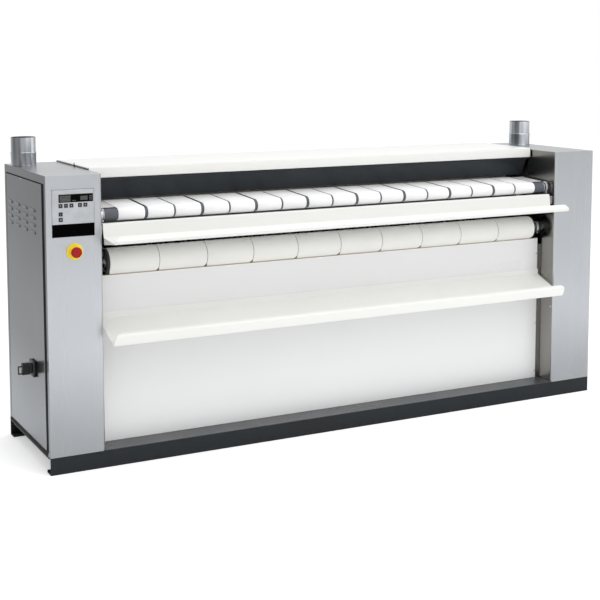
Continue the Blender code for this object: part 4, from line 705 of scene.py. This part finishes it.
def screws(name, places, axis, out, radius, hexagon=False):
    """Pan or hexagon heads at (x, depth, z); out is the side they face along the axis."""
    bm = bmesh.new()
    head, steps = (HEXAGON_HEAD, 6) if hexagon else (PAN_HEAD, 20)
    for place in places:
        ring_mesh(bm, [(r * radius, h * radius * out) for r, h in head], place, axis, steps)
    return piece_from(bm, name, STEEL, "machine", angle=50)


def loop_round(first, first_radius, second, second_radius, steps):
    """The outline of a belt round two rollers or pulleys."""
    run = Vector(second) - Vector(first)
    heading = math.atan2(run.y, run.x)
    lean = math.acos((first_radius - second_radius) / run.length)
    return arc(first, first_radius, heading + lean, heading + 2 * math.pi - lean, steps) + arc(
        second, second_radius, heading - lean, heading + lean, steps
    )


def band(name, inner, outer, low, high, finish, node, edge, waist=None):
    """An endless band between two outlines with the same number of points, its edges eased.

    waist gives how far both edges draw in at a point of the outline."""
    middle = (low + high) / 2
    eased = [tuple(Vector(o).lerp(Vector(i), 0.35)) for o, i in zip(outer, inner)]
    section = (
        (inner, low), (eased, low), (outer, low + edge), (outer, high - edge), (eased, high), (inner, high),
    )
    bm = bmesh.new()
    layers = []
    for outline, along in section:
        inward = 1 if along < middle else -1
        draws = [waist(*point) if waist else 0.0 for point in outline]
        layers.append([
            bm.verts.new((along + inward * draw, at(depth), z)) for (depth, z), draw in zip(outline, draws)
        ])
    for first, second in zip(layers, layers[1:] + layers[:1]):
        join(bm, first, second)
    return piece_from(bm, name, finish, "machine", node, 40)


def belt_set(name, front, rear, radii, count, pitch, width, finish, steps, edge, stagger=0.0, waist=None):
    """Belts side by side round two rollers, each set aside by the stagger, this way and that in turn."""
    inner, outer = (loop_round(front, radius, rear, radius, steps) for radius in radii)
    for index in range(count):
        middle = -pitch * (count - 1) / 2 + pitch * index + stagger * (1 if index % 2 else -1)
        low, high = middle - width / 2, middle + width / 2
        band(f"{name}_{index + 1}", inner, outer, low, high, finish, f"{name}s", edge, waist)


# Camera


def make_camera():
    """The photograph's view: from the left, a little above the machine, nearly level."""
    camera = bpy.data.cameras.new("camera")
    camera.lens = 74.820
    camera.sensor_width = 36
    camera.shift_y = -0.205
    camera.clip_end = 100
    made = placed("camera", camera)
    made.location = (-2.54657, -4.45071, 1.57556)
    made.rotation_euler = (math.pi / 2 - 0.10052, 0, -0.48146)
    bpy.context.scene.camera = made


# Columns and side panels


def columns():
    """The casings, with painted shade: darker copies of the steel on the faces that look outwards and
    inwards, and on the tops, than on the front.
    """
    for side, label in SIDES:
        made = softened(f"column_{label}", 0.0016, 3)
        for finish in (STAINLESS_SIDE_SHADED, STAINLESS_INNER_SHADED, STAINLESS_TOP_SHADED):
            made.data.materials.append(finish)
        # painted shade: each face takes the shaded copy of the steel for the way it faces
        for face in made.data.polygons:
            facing = face.normal.x * side
            if facing > 0.9:
                face.material_index = 1
            elif facing < -0.9 or abs(face.center.x) < INNER - 0.001:
                face.material_index = 2
            elif face.normal.z > 0.9:
                face.material_index = 3


def louvres(node, side):
    """Sixteen pressed louvres: half-round hoods that rise from the sheet, each over a black slot of painted
    shade.
    """
    half, tall, out = 0.031, 0.013, 0.0037
    steps, levels = 10, 5
    hoods, shade_slots = bmesh.new(), bmesh.new()
    for index in range(16):
        depth = LOUVRE_MIDDLE + LOUVRE_PITCH * (index // 4 - 1.5)
        up = LOUVRE_TOP - LOUVRE_STEP * (index % 4)
        rows = []
        for level in range(levels + 1):
            rise = level / levels
            row = []
            for i in range(steps + 1):
                turn = math.pi * i / steps
                height = out * math.sin(math.pi / 2 * min(1.0, math.sin(turn) * 1.6)) * (1 - rise**2) ** 0.5
                across = half * math.cos(turn) * (1 - 0.08 * rise)
                place = (side * (OUTER + 0.0001 + height), at(depth + across), up + tall * (rise - 0.5))
                row.append(hoods.verts.new(place))
            rows.append(row)
        for low, high in zip(rows, rows[1:]):
            for i in range(steps):
                hoods.faces.new((low[i], low[i + 1], high[i + 1], high[i]))
        # a black box under each hood: painted shade where the opening shows the dark inside
        place = Matrix.Translation((side * (OUTER + 0.0012), at(depth), up - 0.0064))
        bmesh.ops.create_cube(shade_slots, size=1, matrix=place @ Matrix.Diagonal((0.0022, 0.050, 0.0016, 1)))
    made = piece_from(hoods, f"{node}_louvres", STAINLESS_SIDE_SHADED, "machine", node, 50)
    wall = made.modifiers.new("Wall", "SOLIDIFY")
    wall.thickness = 0.0008
    wall.offset = -1
    piece_from(shade_slots, f"{node}_slots", BLACK, "machine", node)


def side_panels():
    """Each lift-off panel: a folded tray of sheet in a dark seal, painted shade for the gap round it, over a
    dark strip along the foot.
    """
    sheet = rounded(rectangle(SIDE_LOW, SIDE_HIGH), 0.004)
    seal_low = (SEAL_FRONT, SIDE_LOW[1] - SEAL_REACH)
    seal = rectangle(seal_low, (SIDE_HIGH[0] + SEAL_REACH, SIDE_HIGH[1] + SEAL_REACH))
    strip = rectangle((SEAL_FRONT, COLUMN_FOOT + 0.0006), (DEPTH - 0.004, seal_low[1] - 0.0006))
    for side, label in SIDES:
        node, column = f"side_panel_{label}", f"column_{label}"
        face = side * OUTER
        slab(f"{node}_sheet", sheet, face - side * 0.0115, face, STAINLESS_SIDE_SHADED, node, bevel=0.0012)
        # the seal's black is painted shade: it stands for the dark gap round the panel
        slab(f"{node}_seal", seal, face - side * 0.0110, face - side * 0.0035, SEAL, node)
        slab(f"{column}_foot_strip", strip, face, face + side * 0.0006, SEAL, column)
        louvres(node, side)
        screws(f"{node}_screws", [(face, 0.34, SIDE_HIGH[1] - 0.004)], "X", side, 0.003)


# Ducts

# The outer skin with a bead at its foot and its seam and a rolled edge, then down the inside
DUCT_PROFILE = [
    (0.0250, 1.0958), (0.0485, 1.0958), (0.0485, 1.1233), (0.0508, 1.1234), (0.0512, 1.1243),
    (0.0508, 1.1252), (DUCT_LOWER, 1.1256), (DUCT_LOWER, 1.1722), (0.0507, 1.1732), (0.0511, 1.1746),
    (0.0507, 1.1760), (0.0499, 1.1768), (0.0494, 1.1778), (DUCT_UPPER, 1.1782), (DUCT_UPPER, 1.2340),
    (0.0484, 1.2352), (0.0478, 1.2355), (0.0475, 1.2340), (0.0475, 1.0975), (0.0250, 1.0975),
]
DUCT_SEAMS = ((1.1260, 1.1715, DUCT_LOWER), (1.1785, 1.2335, DUCT_UPPER))


def ducts():
    """Each stub, with painted shade inside and painted reflections on its skin, with a lock seam up its
    front, crimped flat, in two lengths.
    """
    for side, label in SIDES:
        node = f"exhaust_duct_{label}"
        centre = (side * DUCT_X, DUCT_DEPTH)
        stub = lathe(
            f"{node}_stub", DUCT_PROFILE, (*centre, 0), DUCT_ZINC_REFLECTIONS, "machine", node, "Z", 96, closed=True
        )
        stub.data.materials.append(DUCT_INSIDE_SHADED)
        axis = Vector((centre[0], at(centre[1])))
        # painted shade: faces that look inwards take the darker inside copy
        for face in stub.data.polygons:
            outward = (face.center.xy - axis).normalized()
            face.material_index = 1 if face.normal.xy.dot(outward) < -0.7 else 0
        turn, half = math.radians(-90 - 22 * side), 0.07
        for index, (low, high, radius) in enumerate(DUCT_SEAMS):
            outline = arc(centre, radius + 0.0009, turn - half, turn + half, 6)
            outline += arc(centre, radius - 0.0004, turn + half, turn - half, 6)
            slab(f"{node}_seam_{index}", outline, low, high, DUCT_ZINC_REFLECTIONS, node, "Z", 0.0003)


# Rollers, belts and their bearings


def feed_rollers():
    """Rubber-faced rollers on thin journals, with a pressed steel cap at each end."""
    roller = both_ways([
        (0, JOURNAL_END), (JOURNAL - 0.001, JOURNAL_END), (JOURNAL, JOURNAL_END - 0.001),
        (JOURNAL, FEED_HALF + 0.0002), (0.0190, FEED_HALF), (FEED_RADIUS - 0.001, FEED_HALF),
        (FEED_RADIUS, FEED_HALF - 0.001),
    ])
    cap = [
        (JOURNAL + 0.0002, 0.0003), (0.0212, 0.0003), (0.0218, 0.0012), (0.0214, 0.0030), (0.0190, 0.0036),
        (JOURNAL + 0.0002, 0.0036),
    ]
    for label, axis in (("front", FEED_FRONT), ("rear", FEED_REAR)):
        node, body, place = f"feed_roller_{label}", f"feed_{label}", (0, *axis)
        lathe(f"{node}_turned", roller, place, ROLLER, body, node)
        for side, tag in SIDES:
            points = toward(side, cap, FEED_HALF)
            lathe(f"{node}_cap_{tag}", points, place, STEEL, body, node, closed=True, angle=30)


def return_rollers():
    """Rubber-faced drums with a deep steel recess round the hub at each end."""
    drum = both_ways([
        (0.0405, RETURN_HALF - 0.0115), (0.0405, RETURN_HALF - 0.001), (0.0415, RETURN_HALF),
        (RETURN_RADIUS - 0.0012, RETURN_HALF), (RETURN_RADIUS, RETURN_HALF - 0.0012),
    ])
    end = JOURNAL_END - RETURN_HALF
    hub = [
        (0.0404, -0.0012), (0.0390, -0.0020), (0.0385, -0.0105), (0.0240, -0.0110), (0.0225, -0.0100),
        (0.0222, -0.0010), (0.0212, 0), (JOURNAL + 0.001, 0), (JOURNAL, 0.001), (JOURNAL, end - 0.001),
        (JOURNAL - 0.001, end), (0, end), (0, -0.0118), (0.0404, -0.0118),
    ]
    for label, axis in (("front", RETURN_FRONT), ("rear", RETURN_REAR)):
        node, body, place = f"return_roller_{label}", f"return_{label}", (0, *axis)
        lathe(f"{node}_drum", drum, place, ROLLER_END, body, node, closed=True)
        for side, tag in SIDES:
            lathe(f"{node}_hub_{tag}", toward(side, hub, RETURN_HALF), place, STEEL, body, node, angle=30)


def drawn_in(depth, up):
    """How far the return belts' edges draw in under the front roller, where they slip past the panel."""
    turn = Vector((depth, up)) - Vector(RETURN_FRONT)
    if turn.length > RETURN_BELT_RADII[1] + 0.001:
        return 0.0
    angle = math.degrees(math.atan2(turn.y, turn.x)) % 360
    return 0.005 * max(0.0, min(1.0, (angle - 220) / 20, (300 - angle) / 30))


def belts():
    belt_set(
        "feed_belt", FEED_FRONT, FEED_REAR, FEED_BELT_RADII, FEED_BELTS, FEED_PITCH, FEED_BELT_WIDTH, BELTING,
        28, 0.0007, stagger=FEED_BELT_STAGGER,
    )
    belt_set(
        "return_belt", RETURN_FRONT, RETURN_REAR, RETURN_BELT_RADII, RETURN_BELTS, RETURN_PITCH,
        RETURN_BELT_WIDTH, RETURN_CLOTH, 36, 0.0006, waist=drawn_in,
    )


def flange_bearings():
    """Pressed-steel bearing rings, locking collars and bolts at each end of the four rollers.

    The front feed roller has only its upper bolts, since the feed table comes up to its middle."""
    face = INNER - 0.0145
    ring = [
        (0.0205, 0.0075), (0.0262, 0.0075), (0.0258, 0.0010), (0.0240, -0.0012), (0.0218, -0.0014),
        (0.0205, 0.0004),
    ]
    collar = [
        (JOURNAL + 0.0001, -0.0012), (JOURNAL + 0.0048, -0.0012), (JOURNAL + 0.0052, -0.0018),
        (JOURNAL + 0.0052, -0.0072), (JOURNAL + 0.0046, -0.0078), (JOURNAL + 0.0001, -0.0078),
    ]
    for label, axis in (
        ("feed_front", FEED_FRONT), ("feed_rear", FEED_REAR),
        ("return_front", RETURN_FRONT), ("return_rear", RETURN_REAR),
    ):
        lowest = TABLE_REAR[1] if label == "feed_front" else 0
        for side, tag in SIDES:
            for name, profile, body in (("bearing_ring", ring, "machine"), ("collar", collar, label)):
                points = toward(side, profile, face)
                lathe(f"{label}_{name}_{tag}", points, (0, *axis), STEEL, body, closed=True, angle=30)
            bolts = [(side * PLATE_FACE, depth, up) for depth, up in four_round(axis, 0.0312) if up > lowest]
            screws(f"{label}_bolts_{tag}", bolts, "X", -side, 0.0042, hexagon=True)


# The roll, its bearings and the drives


def roll():
    """The padding on its tube, whose closed ends carry the shaft ends."""
    padding = both_ways([
        (TUBE_RADIUS + 0.0003, ROLL_HALF), (ROLL_RADIUS - 0.004, ROLL_HALF),
        (ROLL_RADIUS - 0.0012, ROLL_HALF - 0.0012), (ROLL_RADIUS, ROLL_HALF - 0.004),
    ])
    lathe("roll_padding_felt", padding, (0, *ROLL), FELT, "roll", "roll_padding", steps=128, closed=True)
    core = both_ways([
        (0.0080, 1.116), (0.0190, 1.116), (0.0200, 1.115), (0.0200, ROLL_HALF + 0.0002), (0.0500, ROLL_HALF),
        (0.0960, ROLL_HALF), (TUBE_RADIUS, ROLL_HALF - 0.001),
    ])
    lathe("roll_core_turned", core, (0, *ROLL), STEEL, "roll", "roll_core", steps=128, closed=True)


def roll_bearings():
    """Cast flange bearings on the outer faces of the columns' inner walls, with four screws each."""
    profile = [
        (0.0206, 0.021), (0.0300, 0.021), (0.0305, 0.0190), (0.0400, 0.0190), (0.0415, 0.0175),
        (0.0420, 0.0095), (0.0445, 0.0080), (0.0550, 0.0080), (0.0560, 0.0070), (0.0560, 0.0), (0.0206, 0.0),
    ]
    for side, label in SIDES:
        node = f"roll_bearing_{label}"
        points = toward(side, profile, INNER + 0.0018)
        lathe(f"{node}_turned", points, (0, *ROLL), CAST, "machine", node, closed=True)
        bolts = [(side * (INNER + 0.0098), depth, up) for depth, up in four_round(ROLL, 0.048)]
        screws(f"{node}_bolts", bolts, "X", side, 0.005)


def wheel(radius, bore):
    """A pulley's profile: a dished web, and a lip at each side of the belt's track."""
    lip, half, track = radius + 0.004, 0.010, 0.0075
    return both_ways([
        (bore, half), (bore + 0.008, half), (bore + 0.010, half - 0.003), (radius - 0.009, half - 0.003),
        (radius - 0.006, half), (lip - 0.0006, half), (lip, half - 0.0006), (lip, track + 0.0006),
        (radius, track),
    ])


def pulleys():
    """The pulleys, the motor's and the return roller's shaft ends, and the two belts."""
    return_pulley = ROLL_PULLEY_RIGHT * RETURN_BELT_RADII[1] / ROLL_RADIUS
    for name, radius, bore, side, axis, body, node in (
        ("roll_pulley_left", ROLL_PULLEY_LEFT, 0.0203, -1, ROLL, "roll", "roll_pulley_left"),
        ("roll_pulley_right", ROLL_PULLEY_RIGHT, 0.0203, 1, ROLL, "roll", "roll_pulley_right"),
        ("motor_pulley", MOTOR_PULLEY, 0.0093, -1, MOTOR_AXIS, "motor_shaft", "motor_pulley"),
        ("return_pulley", return_pulley, 0.0121, 1, RETURN_REAR, "return_rear", "return_roller_rear"),
    ):
        place = (side * BELT_PLANE, *axis)
        lathe(f"{name}_turned", wheel(radius, bore), place, CAST, body, node, closed=True)
    shaft = [(0, 0.010), (0.0085, 0.010), (0.0093, 0.009), (0.0090, -0.0257), (0, -0.0257)]
    place = (-BELT_PLANE, *MOTOR_AXIS)
    lathe("motor_shaft_turned", shaft, place, STEEL, "motor_shaft", "motor_pulley")
    start = JOURNAL_END - 0.002
    shaft = [(0, 1.1125), (0.0115, 1.1125), (0.0122, 1.1118), (0.0122, start), (0, start)]
    lathe("return_pulley_shaft", shaft, (0, *RETURN_REAR), STEEL, "return_rear", "return_roller_rear")
    for name, axis, radius, roll_pulley, plane in (
        ("drive_belt", MOTOR_AXIS, MOTOR_PULLEY, ROLL_PULLEY_LEFT, -BELT_PLANE),
        ("transfer_belt", RETURN_REAR, return_pulley, ROLL_PULLEY_RIGHT, BELT_PLANE),
    ):
        inner, outer = (
            loop_round(axis, radius + proud, ROLL, roll_pulley + proud, 40) for proud in (0.0004, 0.0034)
        )
        band(f"{name}_band", inner, outer, plane - 0.0065, plane + 0.0065, DRIVE_RUBBER, name, 0.0008)


def can(radius, length, ribs):
    """The profile of a motor's ribbed can, with a shallow cap at its start."""
    points = [(0, 0), (radius * 0.55, 0), (radius * 0.6, 0.003), (radius - 0.003, 0.003), (radius, 0.006)]
    pitch = (length - 0.014) / ribs
    groove = radius - 0.0022
    for k in range(ribs):
        for reach, share in ((radius, 0.3), (groove, 0.4), (groove, 0.8), (radius, 0.9)):
            points.append((reach, 0.006 + pitch * (k + share)))
    return points + [(radius, length - 0.004), (radius - 0.004, length), (0, length)]


def motors():
    """The motor of the feed belts and those of the two fans."""
    points = toward(1, can(0.032, 0.090, 9), FEED_MOTOR_START)
    lathe("feed_motor_can", points, (0, *FEED_REAR), MOTOR, "machine", "feed_motor")
    length = 0.034
    for side, label in SIDES:
        points = toward(side, can(0.038, length, 4), FAN_MOTOR_END - length)
        lathe(f"fan_motor_{label}_can", points, (0, *FAN_AXIS), MOTOR, "machine", f"fan_motor_{label}")


# Stop button and control panel


def stop_button():
    """The yellow disc, the red mushroom head and the black stem between them."""
    disc = [
        (0.0116, -0.0003), (0.0310, -0.0003), (0.0310, -0.0020), (0.0303, -0.0028), (0.0180, -0.0030),
        (0.0155, -0.0034), (0.0152, -0.0110), (0.0146, -0.0118), (0.0116, -0.0118),
    ]
    lathe("stop_disc_moulded", disc, STOP_PLACE, YELLOW, "machine", "stop_disc", "Y", 72, closed=True)
    head = [
        (0, -0.0225), (0.0066, -0.0225), (0.0066, -0.0164), (0.0165, -0.0164), (0.0185, -0.0172),
        (0.0197, -0.0192), (0.0200, -0.0215), (0.0200, -0.0262), (0.0194, -0.0284), (0.0180, -0.0298),
        (0.0160, -0.0303), (0.0120, -0.0300), (0.0060, -0.0296), (0, -0.0295),
    ]
    lathe("stop_head_moulded", head, STOP_PLACE, RED, "stop_cap", "stop_head", "Y", 72)
    stem = [
        (0, 0.018), (0.0102, 0.018), (0.0109, 0.0172), (0.0109, -0.0158), (0.0060, -0.0160),
        (0.0060, -0.0221), (0, -0.0221),
    ]
    lathe("stop_stem_turned", stem, STOP_PLACE, BLACK, "stop_button", "stop_stem", "Y", 40)


def printed(name, outline, face, finish, body="machine"):
    """A thin print that stands a little proud of a face of the control panel."""
    slab(name, outline, face - 0.00012, face + 0.0001, finish, axis="Y", body=body)


def key_marks():
    """Plain pictograms on the keys: triangles, bars and a square."""
    places = [(x, 1.0108) for x in (-1.2241, -1.2035, -1.1829, -1.1503, -1.1297)]
    places += [(-1.2241, 0.9800), (-1.2241, 0.9597)]
    unit = 0.0105 / 2
    marks = (
        [[(-0.5, 0.35), (0.5, 0.35), (0, -0.45)]],
        [rectangle((-0.5, 0.12), (0.5, -0.12))],
        [[(-0.5, -0.35), (0.5, -0.35), (0, 0.45)]],
        [[(-0.45, 0.45), (0.45, 0), (-0.45, -0.45)]],
        [[(-0.5, -0.3), (0.5, -0.3), (0, 0.1)], rectangle((-0.5, 0.25), (0.5, 0.42))],
        [rectangle((-0.1, 0.5), (0.1, -0.5))],
        [rectangle((-0.42, 0.42), (0.42, -0.42))],
    )
    for index, ((x, up), outlines) in enumerate(zip(places, marks), 1):
        for part, outline in enumerate(outlines):
            points = [(x + a * unit, up + b * unit) for a, b in outline]
            printed(f"key_{index}_mark_{part}", points, KEY_FACE, MARKING, f"key_cap_{index}")


def display():
    """Dark window over dim liquid-crystal plates and small blocks of segments, unlit."""
    plates = [(-1.2280, 1.0252, 0.0430, 0.0245), (-1.1490, 1.0290, 0.0290, 0.0165)]
    for index, (x, up, wide, tall) in enumerate(plates):
        plate = rectangle((x, up), (x + wide, up + tall))
        slab(f"display_plate_{index}", plate, DISPLAY_FACE - 0.00005, DISPLAY_FACE + 0.0001, LCD, axis="Y")
    blocks = [
        (-1.2262, 1.0270, 0.0400, 0.0215, 14, 4),
        (-1.1790, 1.0270, 0.0140, 0.0050, 3, 1),
        (-1.1476, 1.0305, 0.0265, 0.0140, 6, 2),
        (-1.1140, 1.0290, 0.0110, 0.0190, 2, 3),
    ]
    segments = []
    for x, up, wide, tall, across, rows in blocks:
        w, h = wide / across, tall / rows
        places = [(x + column * w, up + row * h) for column in range(across) for row in range(rows)]
        segments += [rectangle((left, low), (left + w * 0.7, low + h * 0.6)) for left, low in places]
    for index, segment in enumerate(segments):
        printed(f"display_segment_{index}", segment, DISPLAY_FACE, DIM_MARKING)


def panel_outline():
    """The thin dark line round the control panel's top and sides."""
    left, right, low, high = -1.2568, -1.0962, 0.9430, 1.0708
    wide = 0.0011
    lines = (
        ((left, high - wide), (right, high)),
        ((left, low), (left + wide, high)),
        ((right - wide, low), (right, high)),
    )
    for index, corners in enumerate(lines):
        slab(f"panel_line_{index}", rectangle(*corners), -0.00075, -0.0005, OUTLINE, axis="Y")


# Sheets and trim


def table_and_tray():
    """The feed table and the receiving tray, folded from one sheet each, with their hems cut back."""
    folded(
        "feed_table", TABLE_PATH, 0.003, TABLE_LEFT, TABLE_RIGHT,
        [(0, 0.028), (0.008, 0.016), (0.020, 0.006), (0.032, 0), (1, 0)], [(0, 0.011), (0.020, 0), (1, 0)],
    )
    folded(
        "receiving_tray", TRAY_PATH, 0.004, TRAY_END, TRAY_END,
        [(0, 0.030), (0.005, 0.016), (0.012, 0.008), (0.022, 0.003), (0.036, 0), (1, 0)],
        [(0, 0.013), (0.010, 0.005), (0.016, 0.0015), (0.024, 0), (1, 0)],
    )
    gusset = [(0.0048, 0.8790), (-0.1150, 0.8705), (0.0048, 0.8540)]
    for (side, label), end in zip(SIDES, (TABLE_LEFT, TABLE_RIGHT)):
        inner, outer = side * (end - 0.0016), side * (end - 0.0004)
        slab(f"feed_table_gusset_{label}", gusset, inner, outer, WHITE, "feed_table")


def cover_ends():
    """Each end of the top cover: a rounded white flange on a black strip of painted shadow over the column's
    top.
    """
    back = DEPTH - 0.0005
    turn = (COVER_HALF - COVER_ROUND, COVER_TOP - COVER_ROUND)
    cover = softened("top_cover", 0.0004, 2)
    for vert in cover.data.vertices:
        if abs(vert.co.x) > turn[0]:
            vert.co.x = math.copysign(turn[0], vert.co.x)
    flange = arc(turn, COVER_ROUND, 0, math.pi / 2, 8) + arc(turn, COVER_ROUND - 0.0012, math.pi / 2, 0, 8)
    # painted shadow: a black strip that stands for the dark gap between the cover and the column's top
    shadow_gap = rectangle((COVER_FRONT + 0.0008, HEIGHT + 0.0003), (back, turn[1] - 0.0001))
    for side, label in SIDES:
        points = [(side * x, z) for x, z in flange]
        slab(f"top_cover_round_{label}", points, COVER_FRONT + 0.0004, back, WHITE, "top_cover", "Y")
        inner, outer = side * (COVER_HALF - 0.0030), side * (COVER_HALF - 0.0001)
        slab(f"top_cover_gasket_{label}", shadow_gap, inner, outer, SEAL, "top_cover")
    pin = [(0, 0.0150), (0.0008, 0.0149), (0.0015, 0.0142), (0.0017, 0.0130), (0.0017, 0), (0, 0)]
    lathe("top_cover_pin", pin, (-INNER - 0.0022, 0.33, HEIGHT + 0.0002), SEAL, "machine", axis="Z", steps=20)


def side_guides():
    """White plates beside the outer feed belts, level with them, carried by the bearing plates."""
    outline = [(0.0780, 0.9846), (0.2200, 0.9926), (0.2200, 0.9940), (0.0780, 0.9860)]
    edge = FEED_PITCH * (FEED_BELTS - 1) / 2 + FEED_BELT_WIDTH / 2 + 0.006
    for side, label in SIDES:
        slab(f"side_guide_{label}", outline, side * edge, side * (PLATE_FACE - 0.0003), WHITE, bevel=0.0003)


def panel_edge():
    """The brown strip along the top edge of the front panel."""
    half = 1.049
    low, high = (PANEL_DEPTH - 0.0006, PANEL_TOP - 0.0022), (PANEL_DEPTH + 0.0017, PANEL_TOP + 0.0004)
    slab("front_panel_edge_strip", rectangle(low, high), -half, half, EDGE_STRIP, bevel=0.0003)


def fasteners():
    """The screws in the columns' inner walls and at the ends of the front panel."""
    wall = [(0.1065, 0.325), (0.1065, 0.099), (0.016, 0.415)]
    for side, label in SIDES:
        places = [(side * INNER, depth, up) for depth, up in wall]
        screws(f"column_{label}_inner_screws", places, "X", -side, 0.0045)
        places = [(side * 1.0445, PANEL_DEPTH, up) for up in (0.100, 0.325, 0.650)]
        screws(f"front_panel_{label}_screws", places, "Y", -1, 0.0040)


def plain_pieces():
    """The CAD nodes that need no more than rounded edges."""
    for node in ("front_panel", "finger_guard", "base_frame"):
        softened(node, 0.0004, 2)
    for node in ("isolator_plate", "isolator_handle"):
        softened(node, 0.0012, 3)


# The stage


def floor():
    """A pale floor that shines a little where the camera or a mirror sees it."""
    bm = bmesh.new()
    bmesh.ops.create_grid(bm, x_segments=1, y_segments=1, size=14)
    finish = Finish("floor_white", (255, 255, 255), 0.9)
    painted = finish.shader.outputs["BSDF"]
    ray = finish.add("ShaderNodeLightPath").outputs
    glow = finish.add("ShaderNodeEmission")
    finish.link(finish.span(ray["Is Camera Ray"], 0.12, 0.40, 0.0, 1.0, "LINEAR"), glow.inputs["Strength"])
    shining = finish.add("ShaderNodeAddShader")
    finish.link(painted, shining.inputs[0])
    finish.link(glow.outputs["Emission"], shining.inputs[1])
    either = finish.add("ShaderNodeMixShader")
    seen = finish.combined("MAXIMUM", ray["Is Camera Ray"], ray["Is Glossy Ray"])
    finish.link(seen, either.inputs["Fac"])
    finish.link(painted, either.inputs[1])
    finish.link(shining.outputs["Shader"], either.inputs[2])
    finish.link(either.outputs["Shader"], finish.tree.nodes["Material Output"].inputs["Surface"])
    object_from(bm, "floor", finish.material)


def surroundings():
    """White all round where it is seen or mirrored; as light, more from above and from the right."""
    world = bpy.data.worlds.new("studio")
    bpy.context.scene.world = world
    world.use_nodes = True
    studio = Nodes(world.node_tree)
    background = studio.tree.nodes["Background"]
    background.inputs["Color"].default_value = (1, 1, 1, 1)
    ray = studio.add("ShaderNodeLightPath").outputs
    seen = studio.combined("MAXIMUM", ray["Is Camera Ray"], ray["Is Transmission Ray"])
    seen = studio.combined("MAXIMUM", seen, ray["Is Glossy Ray"])
    split = studio.add("ShaderNodeSeparateXYZ")
    studio.link(studio.add("ShaderNodeTexCoord").outputs["Generated"], split.inputs["Vector"])
    sideways = studio.span(split.outputs["X"], 0.44, 0.67, -1.0, 1.0, "LINEAR")
    upward = studio.span(split.outputs["Z"], 0.8, 1.4, 0.0, 1.0, "LINEAR")
    strength = studio.span(seen, 0.0, 1.0, 0.0, 1.0, "LINEAR")
    studio.link(studio.combined("MULTIPLY", sideways, upward), strength.node.inputs["To Min"])
    studio.link(strength, background.inputs["Strength"])


def lamp(name, place, aim, size, power, mirrored=True):
    light = bpy.data.lights.new(name, "AREA")
    light.size = size
    light.energy = power
    made = placed(name, light)
    made.location = place
    made.visible_glossy = mirrored
    made.rotation_euler = (Vector(aim) - Vector(place)).to_track_quat("-Z", "Y").to_euler()


def stage():
    """A pale floor and even studio light from the front, the right and above."""
    floor()
    surroundings()
    lamp("key", (1.5, -4.0, 4.2), (0, 0, 0.6), 4.4, 84)
    lamp("top", (0, -0.2, 4.5), (0, 0.1, 0.6), 4.2, 54)
    lamp("fill", (0.6, -5.0, 0.9), (0, 0, 0.35), 2.6, 20, mirrored=False)
    bpy.context.scene.view_settings.view_transform = "Standard"


# Making it

make_camera()
finishes()
columns()
side_panels()
ducts()
feed_rollers()
return_rollers()
belts()
flange_bearings()
roll()
roll_bearings()
pulleys()
motors()
stop_button()
key_marks()
display()
panel_outline()
table_and_tray()
cover_ends()
side_guides()
panel_edge()
fasteners()
plain_pieces()
stage()
